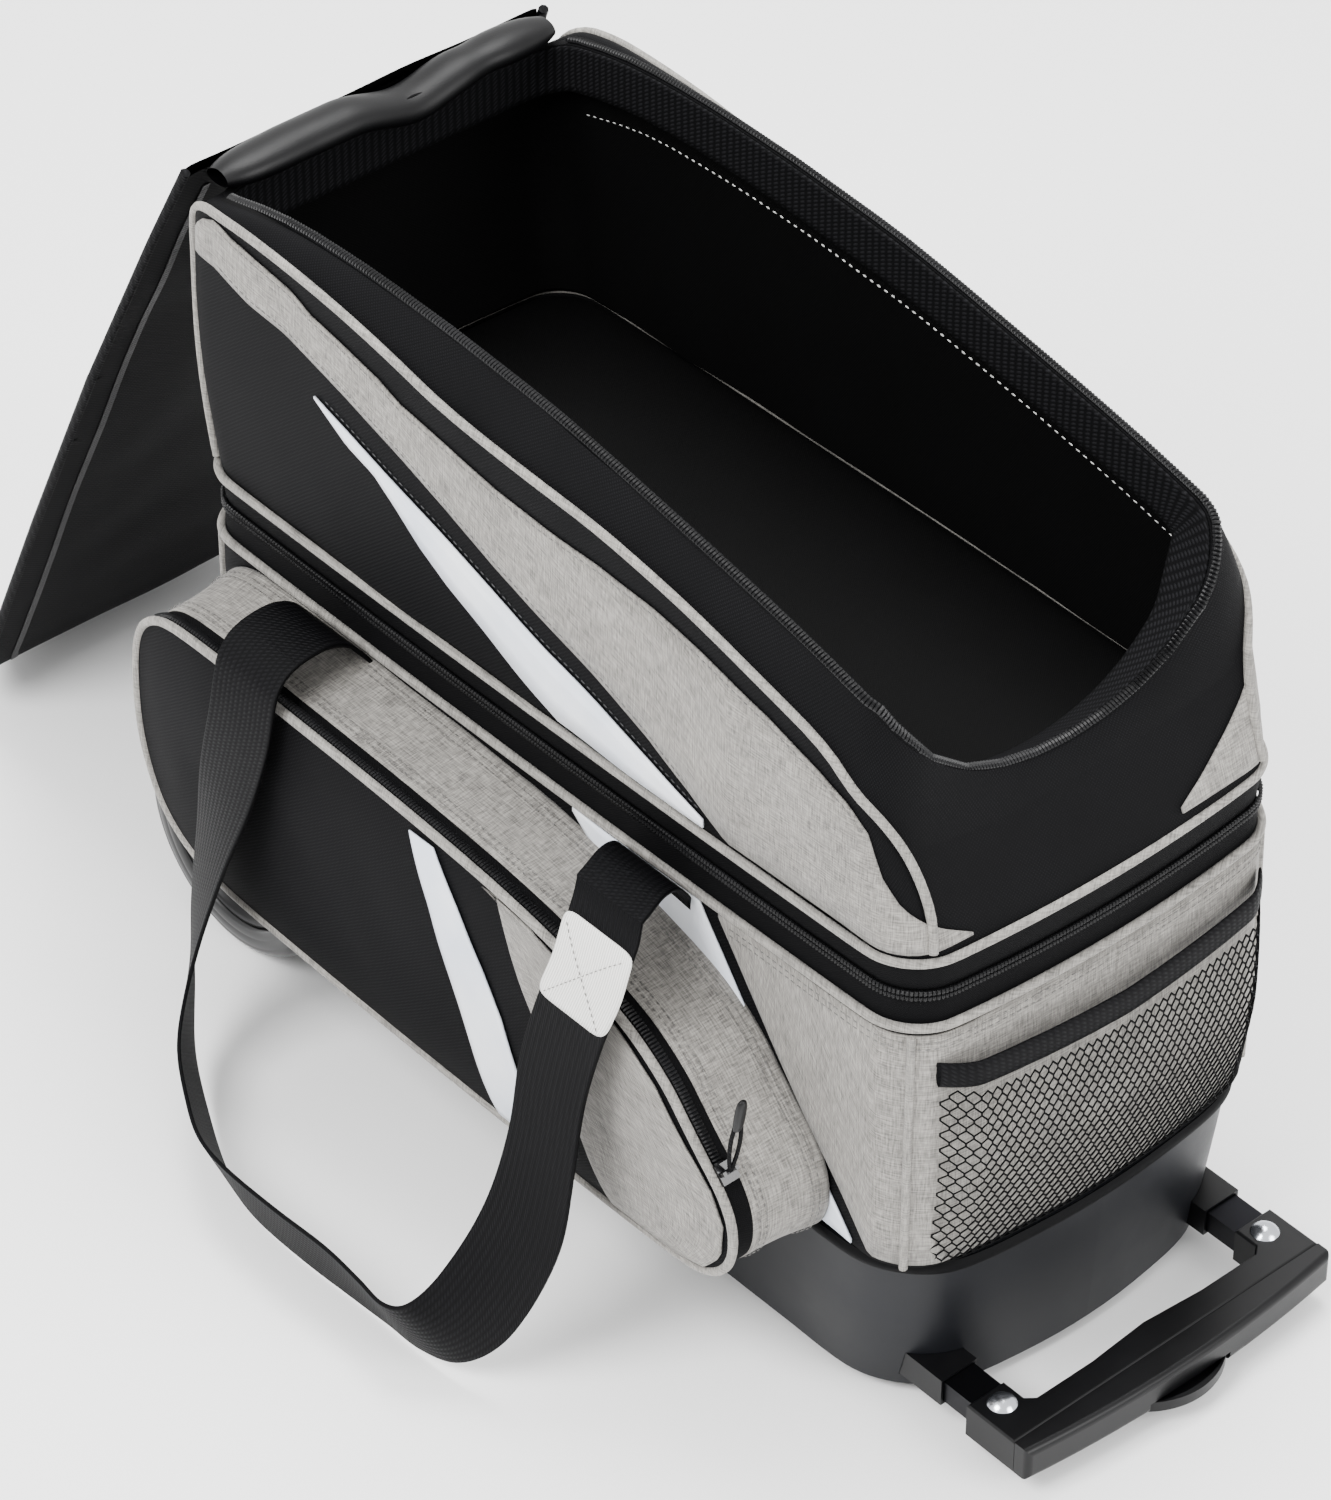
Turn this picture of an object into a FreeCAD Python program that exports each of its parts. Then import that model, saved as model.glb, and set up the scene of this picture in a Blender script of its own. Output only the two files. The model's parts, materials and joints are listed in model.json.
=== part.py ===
import FreeCAD, Part
import math
import os

# Rolling bowling bag. Millimetres, +Z up, floor at z = 0.
# Shapes are laid out about the middle of the bag's shell: +X runs from the wheel end
# to the pull handle, -Y is the side with the accessory pocket.
# SHIFT then puts the origin under the middle of the whole object, open lid included.
SHIFT = FreeCAD.Vector(100, 0, 0)

# ---- driving dimensions ----
HALF_LENGTH = 279
HALF_WIDTH = 128.5
CORNER = 27
WALL = 5
BASE_TOP = 108
BELT_LOW = 269
BELT_ZIP = 290.4
BELT_HIGH = 313
WHEEL_R = 73.3
WHEEL_X = -247
WHEEL_IN = 114
WHEEL_OUT = 150
RAIL_Y = 95.3
RAIL_Z = 24.75
TUBE_W = 21
TUBE_H = 13.5
HINGE_X = -286
HINGE_Z = 488.8
LID_ANGLE = 244.5
LID_T = 6
POCKET_FRONT = -192
POCKET_BACK = -138
STRAP_W = 50
STRAP_T = 2.4
V = FreeCAD.Vector


def interpolate(table, x):
    """Straight-line reading of a table of (x, value) pairs in rising x."""
    if x <= table[0][0]:
        return table[0][1]
    for (x0, y0), (x1, y1) in zip(table, table[1:]):
        if x <= x1:
            return y0 + (y1 - y0) * (x - x0) / (x1 - x0)
    return table[-1][1]


def plan(rear, front, half, radius, bow_rear=0, bow_front=0, bow_side=0):
    """Rounded rectangle with bowed sides, from the front's middle round through +Y."""
    points = [(front, (half - radius) * k / 3) for k in range(3)]
    for k in range(6):
        a = math.radians(90 * k / 5)
        points.append((front - radius + radius * math.cos(a), half - radius + radius * math.sin(a)))
    for k in range(1, 14):
        points.append((front - radius + (rear - front + 2 * radius) * k / 14, half))
    for k in range(6):
        a = math.radians(90 + 90 * k / 5)
        points.append((rear + radius + radius * math.cos(a), half - radius + radius * math.sin(a)))
    points += [(rear, (half - radius) * k / 3) for k in (2, 1, 0)]
    points += [(x, -y) for x, y in reversed(points[1:-1])]
    bowed = []
    for x, y in points:
        end = 1 - (y / half) ** 2
        side = 1 - (x / front if x > 0 else x / rear) ** 2
        dx = bow_front * end if x > front - radius - 1 else -bow_rear * end if x < rear + radius + 1 else 0
        dy = math.copysign(bow_side * max(side, 0), y) if abs(y) > half - radius - 1 else 0
        bowed.append((x + dx, y + dy))
    return bowed


def moved_out(points, distance):
    """Closed 2-D outline, each point moved along its outward normal."""
    area = sum(a[0] * b[1] - b[0] * a[1] for a, b in zip(points, points[1:] + points[:1]))
    sign = 1 if area > 0 else -1
    result = []
    for k, (x, y) in enumerate(points):
        x0, y0 = points[k - 1]
        x1, y1 = points[(k + 1) % len(points)]
        length = math.hypot(x1 - x0, y1 - y0)
        result.append((x + sign * distance * (y1 - y0) / length, y - sign * distance * (x1 - x0) / length))
    return result


def ring(outline, height, out=0):
    """Closed 3-D curve over an outline; height is a number or a function of x and y."""
    level = height if callable(height) else (lambda x, y: height)
    flat = moved_out(outline, out) if out else outline
    curve = Part.BSplineCurve()
    curve.interpolate([V(x, y, level(*o)) for (x, y), o in zip(flat, outline)], PeriodicFlag=True)
    return Part.Wire(curve.toShape())


def closed_solid(faces):
    shell = Part.makeShell(faces)
    shell.sewShape()
    solid = Part.makeSolid(shell)
    if solid.Volume < 0:
        solid.reverse()
    return solid


def wall(outer, inner, ruled=False):
    """Closed band between an outer and an inner stack of rings."""
    faces = Part.makeLoft(outer, False, ruled).Faces + Part.makeLoft(inner, False, ruled).Faces
    faces += Part.makeLoft([outer[0], inner[0]], False, True).Faces
    faces += Part.makeLoft([outer[-1], inner[-1]], False, True).Faces
    return closed_solid(faces)


def slab(rings):
    """Solid between planar rings."""
    return Part.makeLoft(rings, True, False)


def box(x0, x1, y0, y1, z0, z1):
    return Part.makeBox(x1 - x0, y1 - y0, z1 - z0, V(x0, y0, z0))


def side_prism(points, y0, y1, smooth=False):
    """An outline of (x, z) points run from y0 to y1."""
    corners = [V(x, y0, z) for x, z in points]
    if smooth:
        curve = Part.BSplineCurve()
        curve.interpolate(corners, PeriodicFlag=True)
        wire = Part.Wire(curve.toShape())
    else:
        wire = Part.makePolygon(corners + corners[:1])
    return Part.Face(wire).extrude(V(0, y1 - y0, 0))


def cord(points, radius, closed=False):
    """Round bead along a smooth curve."""
    curve = Part.BSplineCurve()
    curve.interpolate([V(*p) for p in points], PeriodicFlag=closed)
    start = curve.value(curve.FirstParameter)
    along = curve.tangent(curve.FirstParameter)[0]
    circle = Part.Wire(Part.makeCircle(radius, start, along))
    pipe = Part.Wire(curve.toShape()).makePipeShell([circle], True, True)
    if pipe.ShapeType != "Solid" and pipe.Solids:
        pipe = pipe.Solids[0]
    return pipe


def rod(start, end, radius):
    line = V(*end) - V(*start)
    return Part.makeCylinder(radius, line.Length, V(*start), line)


def mirrored(shape):
    return shape.mirror(V(0, 0, 0), V(0, 1, 0))


def export(name, *shapes):
    solids = [s for shape in shapes for s in shape.Solids]
    whole = solids[0] if len(solids) == 1 else Part.makeCompound(solids)
    whole = whole.copy()
    whole.translate(SHIFT)
    whole.exportStep("parts/" + name + ".step")
    state = "valid" if whole.isValid() else "NOT VALID"
    print(name, len(solids), state, round(sum(s.Volume for s in solids) / 1000))


os.makedirs("parts", exist_ok=True)

# ---- lower body surface: (height, rear, front, half width, rear bow, front bow, side bow) ----
LOWER = [
    (BASE_TOP + 1, -279, 279, 127.5, 6, 14, 2),
    (180, -281, 281, 129, 7, 14, 4),
    (BELT_LOW, -279, 279, HALF_WIDTH, 4, 10, 3),
]


def lower_ring(z, out=0):
    values = [interpolate([(level[0], level[k]) for level in LOWER], z) for k in range(1, 7)]
    rear, front, half, bow_rear, bow_front, bow_side = values
    return ring(plan(rear, front, half, CORNER, bow_rear, bow_front, bow_side), z, out)


# ---- upper section: belt ring, side seam and mouth, each at its own height ----
SEAM_Z = [(-290, 440), (-277, 466), (-262, 478), (-250, 481), (-222, 483), (-181, 481), (-141, 477),
          (-100, 471), (-62, 465), (0, 460), (53, 457), (90, 451), (126, 444), (180, 431), (219, 419),
          (241, 403), (254, 384), (263, 362), (272, 350)]
MOUTH_Z = [(-277, 475), (-239, 487), (-193, 493), (-130, 496), (-76, 495), (0, 488), (40, 482),
           (79, 475), (112, 469), (150, 462), (183, 455), (221, 446), (243, 437), (254, 430)]
MOUTH_END_Z = [(0, 375), (28, 377), (56, 385), (77, 397), (98, 415), (113, 434), (120, 470)]


def seam_height(x, y):
    return interpolate(SEAM_Z, x)


def mouth_height(x, y):
    side = interpolate(MOUTH_Z, x)
    return min(side, interpolate(MOUTH_END_Z, abs(y))) if x > 225 else side


def middle_height(x, y):
    return (BELT_HIGH + seam_height(x, y)) / 2


BELT_PLAN = plan(-279, 277, HALF_WIDTH, CORNER, 4, 9, 3)
MIDDLE_PLAN = plan(-288, 269, 130, CORNER, 3, 7, 3)
SEAM_PLAN = plan(-286, 259, 130, CORNER, 2, 5, 2)
MOUTH_PLAN = plan(-277, 250, 118, CORNER, 0, 4, 0)


def upper_rings(out):
    return [ring(BELT_PLAN, BELT_HIGH, out), ring(MIDDLE_PLAN, middle_height, out),
            ring(SEAM_PLAN, seam_height, out), ring(MOUTH_PLAN, mouth_height, out)]


# ---- wheel wells ----
def well(grow, top):
    """Space for one wheel in the corner of the shell, on the +Y side."""
    return box(-340, -165 + grow, WHEEL_IN - 3 - grow, 200, -10, top + grow)


WELLS = [well(0, 153), mirrored(well(0, 153))]
WELLS_OUTER = [well(3, 153), mirrored(well(3, 153))]
WELLS_CLEAR = [well(3.6, 153), mirrored(well(3.6, 153))]

# ---- moulded base ----
base_outer = slab([ring(plan(-268, 268, 119, 42, 6, 20, 2), 8), ring(plan(-274, 274, 124, 42, 6, 18, 2), 60),
                   ring(plan(-279, 279, 127.5, 42, 6, 16, 2), BASE_TOP)])
base_inner = slab([ring(plan(-264, 264, 115, 38, 6, 20, 2), 7), ring(plan(-270, 270, 120, 38, 6, 18, 2), 60),
                   ring(plan(-275, 275, 123.5, 38, 6, 16, 2), BASE_TOP + 1)])
deck = base_outer.common(box(-320, 320, -200, 200, 36, 40))
base_tub = base_outer.cut(base_inner).fuse(deck)
for hollow, liner in zip(WELLS, WELLS_OUTER):
    fence = slab([ring(plan(-279, 279, 127.4, CORNER, 5, 10, 2), 8),
                  ring(plan(-279, 279, 127.4, CORNER, 5, 10, 2), 156)])
    base_tub = base_tub.fuse(liner.common(fence)).cut(hollow)
for side in (-1, 1):
    for x in (-150, 120):
        base_tub = base_tub.cut(rod((x, side * 70, 30), (x, side * 70, 45), 2.5))
    slot = box(150, 320, side * RAIL_Y - 12.8, side * RAIL_Y + 12.8, RAIL_Z - 9.1, RAIL_Z + 9.1)
    base_tub = base_tub.cut(slot)
    base_tub = base_tub.cut(rod((WHEEL_X, side * 90, WHEEL_R), (WHEEL_X, side * 113, WHEEL_R), 4.3))
export("base_tub", base_tub)

feet = []
for side in (-1, 1):
    foot = Part.makeCylinder(24, 7.5, V(226, side * 84, 0))
    heel = box(190, 226, side * 84 - 24, side * 84 + 24, 0, 7.5)
    foot = foot.fuse(heel).removeSplitter()
    feet.append(foot.cut(box(0, 400, side * RAIL_Y - 12.8, side * RAIL_Y + 12.8, 7.4, 20)))
feet = [f.makeFillet(2, [e for e in f.Edges if e.BoundBox.ZMax < 0.1]) for f in feet]
export("base_feet", *feet)

seam_plan = plan(-279, 279, 127.5, 42, 6, 16, 2)
binding = wall([ring(seam_plan, BASE_TOP - 8, 0.9), ring(seam_plan, BASE_TOP - 4, 2.6),
                ring(seam_plan, BASE_TOP, 0.9)],
               [ring(seam_plan, BASE_TOP - 8, 0.3), ring(seam_plan, BASE_TOP, 0.3)])
rear_half = box(-320, -158, -140, 140, 90, 120)
binding = binding.cut(rear_half).fuse(binding.common(box(-320, -158, -106, 106, 90, 120)))
export("base_binding", binding)

cradle = box(-230, 230, -98, 98, 40.3, 75)
for x in (-118, 118):
    cradle = cradle.cut(Part.makeSphere(109, V(x, 0, 156.5)))
cradle = cradle.cut(box(-240, -160, -120, -96, 30, 90)).cut(box(-240, -160, 96, 120, 30, 90))
export("ball_cradle", cradle)

# ---- lower fabric body ----
levels = [BASE_TOP + 1, 150, 200, BELT_LOW]
lower_body = wall([lower_ring(z) for z in levels], [lower_ring(z, -WALL) for z in levels])
export("lower_body", lower_body.cut(WELLS_CLEAR[0]).cut(WELLS_CLEAR[1]))


def belt_band(z0, z1, inner, edge, bulge):
    """Bead or tape round the belt line."""
    outline = plan(-279, 279, HALF_WIDTH, CORNER, 4, 10, 3)
    middle = (z0 + z1) / 2
    return wall([ring(outline, z0, edge), ring(outline, middle, bulge), ring(outline, z1, edge)],
                [ring(outline, z0, inner), ring(outline, z1, inner)])


export("lower_piping", belt_band(BELT_LOW + 0.1, BELT_LOW + 4.1, -2, 0.6, 2.6))
export("lower_tape", belt_band(BELT_LOW + 4.2, BELT_ZIP - 2.7, -3.6, -1.8, -1.6))
FAR_SIDE = box(-250, 250, 100, 160, 200, 400)
export("lower_coil", belt_band(BELT_ZIP - 2.5, BELT_ZIP - 0.2, -3, -1, 0.9).cut(FAR_SIDE))
export("upper_coil", belt_band(BELT_ZIP + 0.2, BELT_ZIP + 2.5, -3, -1, 0.9).cut(FAR_SIDE))
hinge_strip = belt_band(BELT_ZIP - 5, BELT_ZIP - 0.3, -1.4, -0.1, 1)
hinge_strip = hinge_strip.common(box(-248, 248, 100, 160, 200, 400))
export("belt_hinge", hinge_strip)
export("upper_tape", belt_band(BELT_ZIP + 2.6, BELT_HIGH - 4.3, -3.6, -1.8, -1.6))
export("upper_belt_piping", belt_band(BELT_HIGH - 4.2, BELT_HIGH - 0.1, -2, 0.6, 2.8))

posts = []
for sx in (-1, 1):
    for sy in (-1, 1):
        path = []
        for z in (BASE_TOP + 6, 150, 190, 230, BELT_LOW - 2):
            rear, front, half = [interpolate([(level[0], level[k]) for level in LOWER], z) for k in (1, 2, 3)]
            reach = (CORNER + 2.7) * math.sqrt(0.5)
            path.append((sx * (front - CORNER + reach), sy * (half - CORNER + reach), z))
        if sx > 0:
            path = [(x + 3.2, y, z) for x, y, z in path]
        else:
            path = [(x - 1.6, y, z) for x, y, z in path if z > 155]
        posts.append(cord(path, 2.3))
export("corner_piping", *posts)

# ---- mesh pocket on the handle end ----
mesh_levels = [118, 150, 190, 236.8]
mesh_gap = [1.5, 4.5, 7, 8.5]
mesh = wall([lower_ring(z, g + 1) for z, g in zip(mesh_levels, mesh_gap)],
            [lower_ring(z, g) for z, g in zip(mesh_levels, mesh_gap)])
export("mesh_panel", mesh.common(box(200, 330, -108, 108, 100, 260)))
mesh_edge = wall([lower_ring(237, 10.6), lower_ring(250, 10.9)], [lower_ring(237, 8), lower_ring(250, 8.3)])
export("mesh_binding", mesh_edge.common(box(200, 330, -109, 109, 200, 260)))

# ---- sewn blades and bands ----
skin = wall([lower_ring(z, 1.3) for z in levels], [lower_ring(z, 0.3) for z in levels])
blade = side_prism([(31, 268.5), (128, 268.5), (246, 112), (236, 112), (60, 240)], -160, -100)
lower_blade = skin.common(blade)
export("lower_blades", lower_blade, mirrored(lower_blade))

skin = wall(upper_rings(1.3), upper_rings(0.3), True)
blade = side_prism([(-169, 414), (-101, 396), (-22, 371), (55, 347), (134, 318), (39, 318), (-62, 354),
                    (-119, 388)], -160, -100)
upper_blade = skin.common(blade)
export("upper_blades", upper_blade, mirrored(upper_blade))
band = side_prism([(-244, 470), (-186, 465), (-99, 445), (-20, 436), (56, 431), (130, 424), (190, 412),
                   (232, 388), (250, 362), (250, 320), (152, 320), (93, 348), (17, 372), (-61, 400),
                   (-140, 428), (-221, 442), (-250, 458)], -160, -100)
upper_band = skin.common(band)
export("upper_bands", upper_band, mirrored(upper_band))

# ---- upper fabric section ----
export("upper_body", wall(upper_rings(0), upper_rings(-WALL), True))
floor_outline = plan(-279, 277, HALF_WIDTH, CORNER, 4, 9, 3)
export("shoe_floor", slab([ring(floor_outline, BELT_HIGH + 1.5, -WALL - 4),
                           ring(floor_outline, BELT_HIGH + 4.5, -WALL - 4)]))


def facing_height(drop):
    return lambda x, y: mouth_height(x, y) - drop


export("rim_facing", wall([ring(MOUTH_PLAN, facing_height(24), -WALL - 0.6),
                           ring(MOUTH_PLAN, facing_height(1), -WALL - 0.6)],
                          [ring(MOUTH_PLAN, facing_height(24), -WALL - 2),
                           ring(MOUTH_PLAN, facing_height(1), -WALL - 2)]))
rim_coil = wall([ring(MOUTH_PLAN, facing_height(-0.6), -1), ring(MOUTH_PLAN, facing_height(-2.9), -1)],
                [ring(MOUTH_PLAN, facing_height(-0.6), -4), ring(MOUTH_PLAN, facing_height(-2.9), -4)])
export("rim_coil", rim_coil.cut(box(-400, -262, -200, 200, 300, 600)))



def seam_bead(side):
    """Piping up one corner, along the side seam and down the other corner."""
    def corner_at(outline_x, half, z, out):
        reach = (CORNER + out) * math.sqrt(0.5)
        sign = 1 if outline_x > 0 else -1
        return (outline_x - sign * CORNER + sign * reach, side * (half - CORNER + reach), z)
    path = [corner_at(278, HALF_WIDTH, 322, 5), corner_at(272, 130, 346, 5), corner_at(263, 130, 374, 4.5)]
    path.append((246, side * 130.5, 399))
    for x, z in SEAM_Z[4:-3][::-1]:
        path.append((x, side * (136.2 - 2.4 * (x / 290) ** 2), z))
    path.append((-254, side * 134.6, 480.8))
    path += [corner_at(-287.5, 130, 463, 4.7), corner_at(-290, 130, 425, 5.3), corner_at(-288.5, 130, 385, 5),
             corner_at(-283, 130, 350, 5), corner_at(-280, HALF_WIDTH, 322, 5)]
    return cord(path, 2.3)


export("upper_side_piping", seam_bead(-1), seam_bead(1))

# ---- lid, thrown back over the wheel end: a padded hinge strip and three padded leaves ----
# The strip turns over about its root; closed, it lies the other way and the lid reaches the far end.
ROOT_X, ROOT_Z = -262.4, 493
root = side_prism([(-276.8, 476), (-272.6, 476), (-264.5, 485.6), (-264.5, 488.4), (-268, 488.4)], -90, 90)
export("hinge_base", root)
strip = box(ROOT_X - 18.5, ROOT_X + 0.5, -108, 108, -3, 3)
strip.translate(V(-ROOT_X, 0, 0))
strip.rotate(V(0, 0, 0), V(0, 1, 0), -10)
strip.translate(V(ROOT_X, 0, ROOT_Z))
export("hinge_roll", strip)

def on_lid(shape, angle, x, z):
    """Turn a piece drawn flat along +X from the origin to its leaf's place."""
    placed = shape.copy()
    placed.rotate(V(0, 0, 0), V(0, 1, 0), -angle)
    placed.translate(V(x, 0, z))
    return placed


def along(angle, length):
    a = math.radians(angle)
    return length * math.cos(a), length * math.sin(a)


REAR_LEAF = 184
FRONT_LEAF = 315
fold_x, fold_z = [a + b for a, b in zip((HINGE_X, HINGE_Z), along(LID_ANGLE, REAR_LEAF))]
end_x, end_z = [a + b for a, b in zip((HINGE_X, HINGE_Z), along(LID_ANGLE, REAR_LEAF + FRONT_LEAF))]
END_ANGLE = LID_ANGLE - 40


def leaf_plate(x0, x1, half0, half1):
    outline = [V(x0, -half0, 0), V(x1, -half1, 0), V(x1, half1, 0), V(x0, half0, 0)]
    plate = Part.Face(Part.makePolygon(outline + outline[:1])).extrude(V(0, 0, LID_T))
    plate.translate(V(0, 0, -LID_T / 2))
    return plate


def leaf_coil(x0, x1):
    z = LID_T / 2 + 1.9
    return [rod((x0, side * 118, z), (x1, side * 118, z), 1.7) for side in (-1, 1)]


rear_leaf = leaf_plate(5, REAR_LEAF - 0.8, 124, 136)
front_leaf = leaf_plate(0.8, FRONT_LEAF - 3, 136, 138)
tip = [(3.1, 138), (12, 135), (30, 122), (48, 103), (62, 80), (71, 52), (75, 24), (76, 0)]
tip += [(x, -y) for x, y in reversed(tip[:-1])]
curve = Part.BSplineCurve()
curve.interpolate([V(x, y, -LID_T / 2) for x, y in tip])
edge = curve.toShape()
straight = Part.makeLine(curve.EndPoint, curve.StartPoint)
end_leaf = Part.Face(Part.Wire([edge, straight])).extrude(V(0, 0, LID_T))
coil_tip = [(x - 8, y * 0.84, LID_T / 2 + 1.9) for x, y in tip[1:-1]]
export("lid_rear", on_lid(rear_leaf, LID_ANGLE, HINGE_X, HINGE_Z))
export("lid_front", on_lid(front_leaf, LID_ANGLE, fold_x, fold_z))
export("lid_end", on_lid(end_leaf, END_ANGLE, end_x, end_z))
export("lid_coil_rear", *[on_lid(c, LID_ANGLE, HINGE_X, HINGE_Z) for c in leaf_coil(14, REAR_LEAF - 1)])
export("lid_coil_front", *[on_lid(c, LID_ANGLE, fold_x, fold_z) for c in leaf_coil(1, FRONT_LEAF - 5)])
export("lid_coil_end", on_lid(cord(coil_tip, 1.7), END_ANGLE, end_x, end_z))

# ---- wheels ----
middle_y = (WHEEL_IN + WHEEL_OUT) / 2


def turned(profile, y, side):
    """Revolve (radius, across) points about the wheel's axle; across grows towards the outside."""
    corners = [V(WHEEL_X + r, side * (y + w), WHEEL_R) for r, w in profile]
    face = Part.Face(Part.makePolygon(corners + corners[:1]))
    return face.revolve(V(WHEEL_X, 0, WHEEL_R), V(0, 1, 0), 360)


TYRE = [(53, -16), (66, -18), (71, -15), (WHEEL_R, -9), (WHEEL_R, 9), (71, 15), (66, 18), (53, 16)]
HUB = [(11, -14), (20, -14), (24, -8), (44, -8), (48, -15), (52.9, -15), (52.9, 15), (48, 15), (44, 9),
       (26, 6), (22, 13), (11, 13)]
CAP = [(0, 13.4), (20, 13.4), (19, 16), (13, 18.4), (0, 19.4)]
for side, name in ((-1, "near"), (1, "far")):
    export("tyre_" + name, turned(TYRE, middle_y, side))
    export("hub_" + name, turned(HUB, middle_y, side))
    export("hub_cap_" + name, turned(CAP, middle_y, side))
    races = []
    for a, b in ((-14, -7), (4, 11)):
        races.append(turned([(4.05, a), (10.95, a), (10.95, b), (4.05, b)], middle_y, side))
    export("bearings_" + name, *races)
    bolt = rod((WHEEL_X, side * 98, WHEEL_R), (WHEEL_X, side * (middle_y + 11.5), WHEEL_R), 4)
    head = rod((WHEEL_X, side * 98, WHEEL_R), (WHEEL_X, side * 104, WHEEL_R), 8)
    export("axle_" + name, bolt.fuse(head).removeSplitter())

# ---- pull handle ----
rails, tubes, clamps, screws, rivets = [], [], [], [], []
for side in (-1, 1):
    y = side * RAIL_Y
    rail = box(-205, 291, y - 12.5, y + 12.5, RAIL_Z - 8.75, RAIL_Z + 8.75)
    rails.append(rail.cut(box(-210, 300, y - 11, y + 11, RAIL_Z - 7.25, RAIL_Z + 7.25)))
    tube = box(-190, 338, y - TUBE_W / 2, y + TUBE_W / 2, RAIL_Z - TUBE_H / 2, RAIL_Z + TUBE_H / 2)
    hollow = box(-191, 339, y - TUBE_W / 2 + 1.3, y + TUBE_W / 2 - 1.3, RAIL_Z - TUBE_H / 2 + 1.3,
                 RAIL_Z + TUBE_H / 2 - 1.3)
    tubes.append(tube.cut(hollow).cut(rod((322.7, y, 0), (322.7, y, 60), 3.1)))
    shank = rod((322.7, y, 12), (322.7, y, 34.2), 3)
    dome = Part.makeSphere(10, V(322.7, y, 28.2)).common(box(310, 335, y - 20, y + 20, 34.2, 40))
    rivets.append(shank.fuse(dome).fuse(rod((322.7, y, 11), (322.7, y, 12.9), 5)).removeSplitter())
    for x in (-150, 120):
        screws.append(rod((x, side * 70, 30.9), (x, side * 70, 39), 2.4).fuse(
            rod((x, side * 70, 28.4), (x, side * 70, 30.9), 5)).removeSplitter())
export("handle_rails", *rails)
for x in (-150, 120):
    bar = box(x - 12, x + 12, -112, 112, 13, 35.8)
    for side in (-1, 1):
        y = side * RAIL_Y
        bar = bar.cut(box(x - 20, x + 20, y - 12.6, y + 12.6, RAIL_Z - 8.85, RAIL_Z + 8.85))
        bar = bar.cut(rod((x, side * 70, 10), (x, side * 70, 31), 6))
        bar = bar.cut(rod((x, side * 70, 30), (x, side * 70, 40), 2.5))
    bar = bar.cut(box(x - 20, x + 20, -55, 55, 10, 30))
    clamps.append(bar)
export("rail_clamps", *clamps)
export("rail_screws", *screws)
export("handle_tubes", *tubes)
export("grip_rivets", *rivets)

frame_outline = [(312, 84), (327, 84), (331, 79), (331, 40), (328, 0)]
frame_outline += [(x, -y) for x, y in reversed(frame_outline[:-1])]
frame_outline += [(312, -110), (347, -110), (347, 110), (312, 110)]
corners = [V(x, y, 13) for x, y in frame_outline]
grip_frame = Part.Face(Part.makePolygon(corners + corners[:1])).extrude(V(0, 0, 21))
for side in (-1, 1):
    y = side * RAIL_Y
    grip_frame = grip_frame.cut(box(300, 338.5, y - 10.7, y + 10.7, RAIL_Z - 6.95, RAIL_Z + 6.95))
    grip_frame = grip_frame.cut(rod((322.7, y, 0), (322.7, y, 60), 3.1))
grip_frame = grip_frame.makeFillet(1.5, [e for e in grip_frame.Edges if e.BoundBox.ZMin > 33.9])
export("grip_frame", grip_frame.cut(box(340, 350, -29, 29, 10, 19.6)))

arc = Part.Arc(V(357, -110, 13), V(364.5, 0, 13), V(357, 110, 13)).toShape()
around = [V(357, 110, 13), V(347.3, 110, 13), V(347.3, -110, 13), V(357, -110, 13)]
lines = [Part.makeLine(a, b) for a, b in zip(around, around[1:])]
grip_cover = Part.Face(Part.Wire([arc] + lines)).extrude(V(0, 0, 21))
outer_edges = [e for e in grip_cover.Edges if e.BoundBox.XMin > 356 and e.BoundBox.ZMin > 12.9]
grip_cover = grip_cover.makeFillet(4, outer_edges)
export("grip_cover", grip_cover.cut(box(340, 380, -29, 29, 10, 19.6)))

press = Part.Arc(V(362, -28, 12.4), V(372, 0, 12.4), V(362, 28, 12.4)).toShape()
around = [V(362, 28, 12.4), V(348, 28, 12.4), V(348, -28, 12.4), V(362, -28, 12.4)]
edges = [press] + [Part.makeLine(a, b) for a, b in zip(around, around[1:])]
button = Part.Face(Part.Wire(edges)).extrude(V(0, 0, 6.6))
scoop = Part.makeCylinder(60, 4, V(309, 0, 15.2)).common(box(352, 380, -22, 22, 10, 22))
button = button.cut(scoop)
export("release_button", button)

# ---- accessory pocket ----
POCKET = [(-261, 190), (-257, 235), (-240, 256), (-205, 261), (-120, 259), (-40, 256), (30, 251), (80, 244),
          (115, 235), (147, 223), (172, 206), (186, 191), (200, 176), (214, 161), (222, 144), (221, 122),
          (209, 106), (185, 99), (120, 97), (0, 97), (-120, 99), (-200, 104), (-238, 122), (-255, 152)]
dish = side_prism(POCKET, POCKET_BACK, POCKET_FRONT, True)
dish = dish.cut(rod((WHEEL_X, -100, WHEEL_R), (WHEEL_X, -WHEEL_OUT - 3, WHEEL_R), WHEEL_R + 5))
hollow = side_prism(moved_out(POCKET, -3), POCKET_BACK + 1, POCKET_FRONT + 3, True)
hollow = hollow.cut(rod((WHEEL_X, -100, WHEEL_R), (WHEEL_X, -WHEEL_OUT - 6, WHEEL_R), WHEEL_R + 8))
export("pocket_shell", dish.cut(hollow))
bead = side_prism(moved_out(POCKET, 2.2), POCKET_FRONT - 0.2, POCKET_FRONT - 4.2, True)
export("pocket_piping", bead.cut(side_prism(moved_out(POCKET, -2.2), POCKET_FRONT, POCKET_FRONT - 5, True)))
TRACK = box(-300, 300, -200, -160, 160, 300).cut(box(-300, -240, -200, -160, 100, 232))
tape = side_prism(moved_out(POCKET, 1.2), POCKET_FRONT + 0.4, POCKET_FRONT + 19, True)
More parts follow.
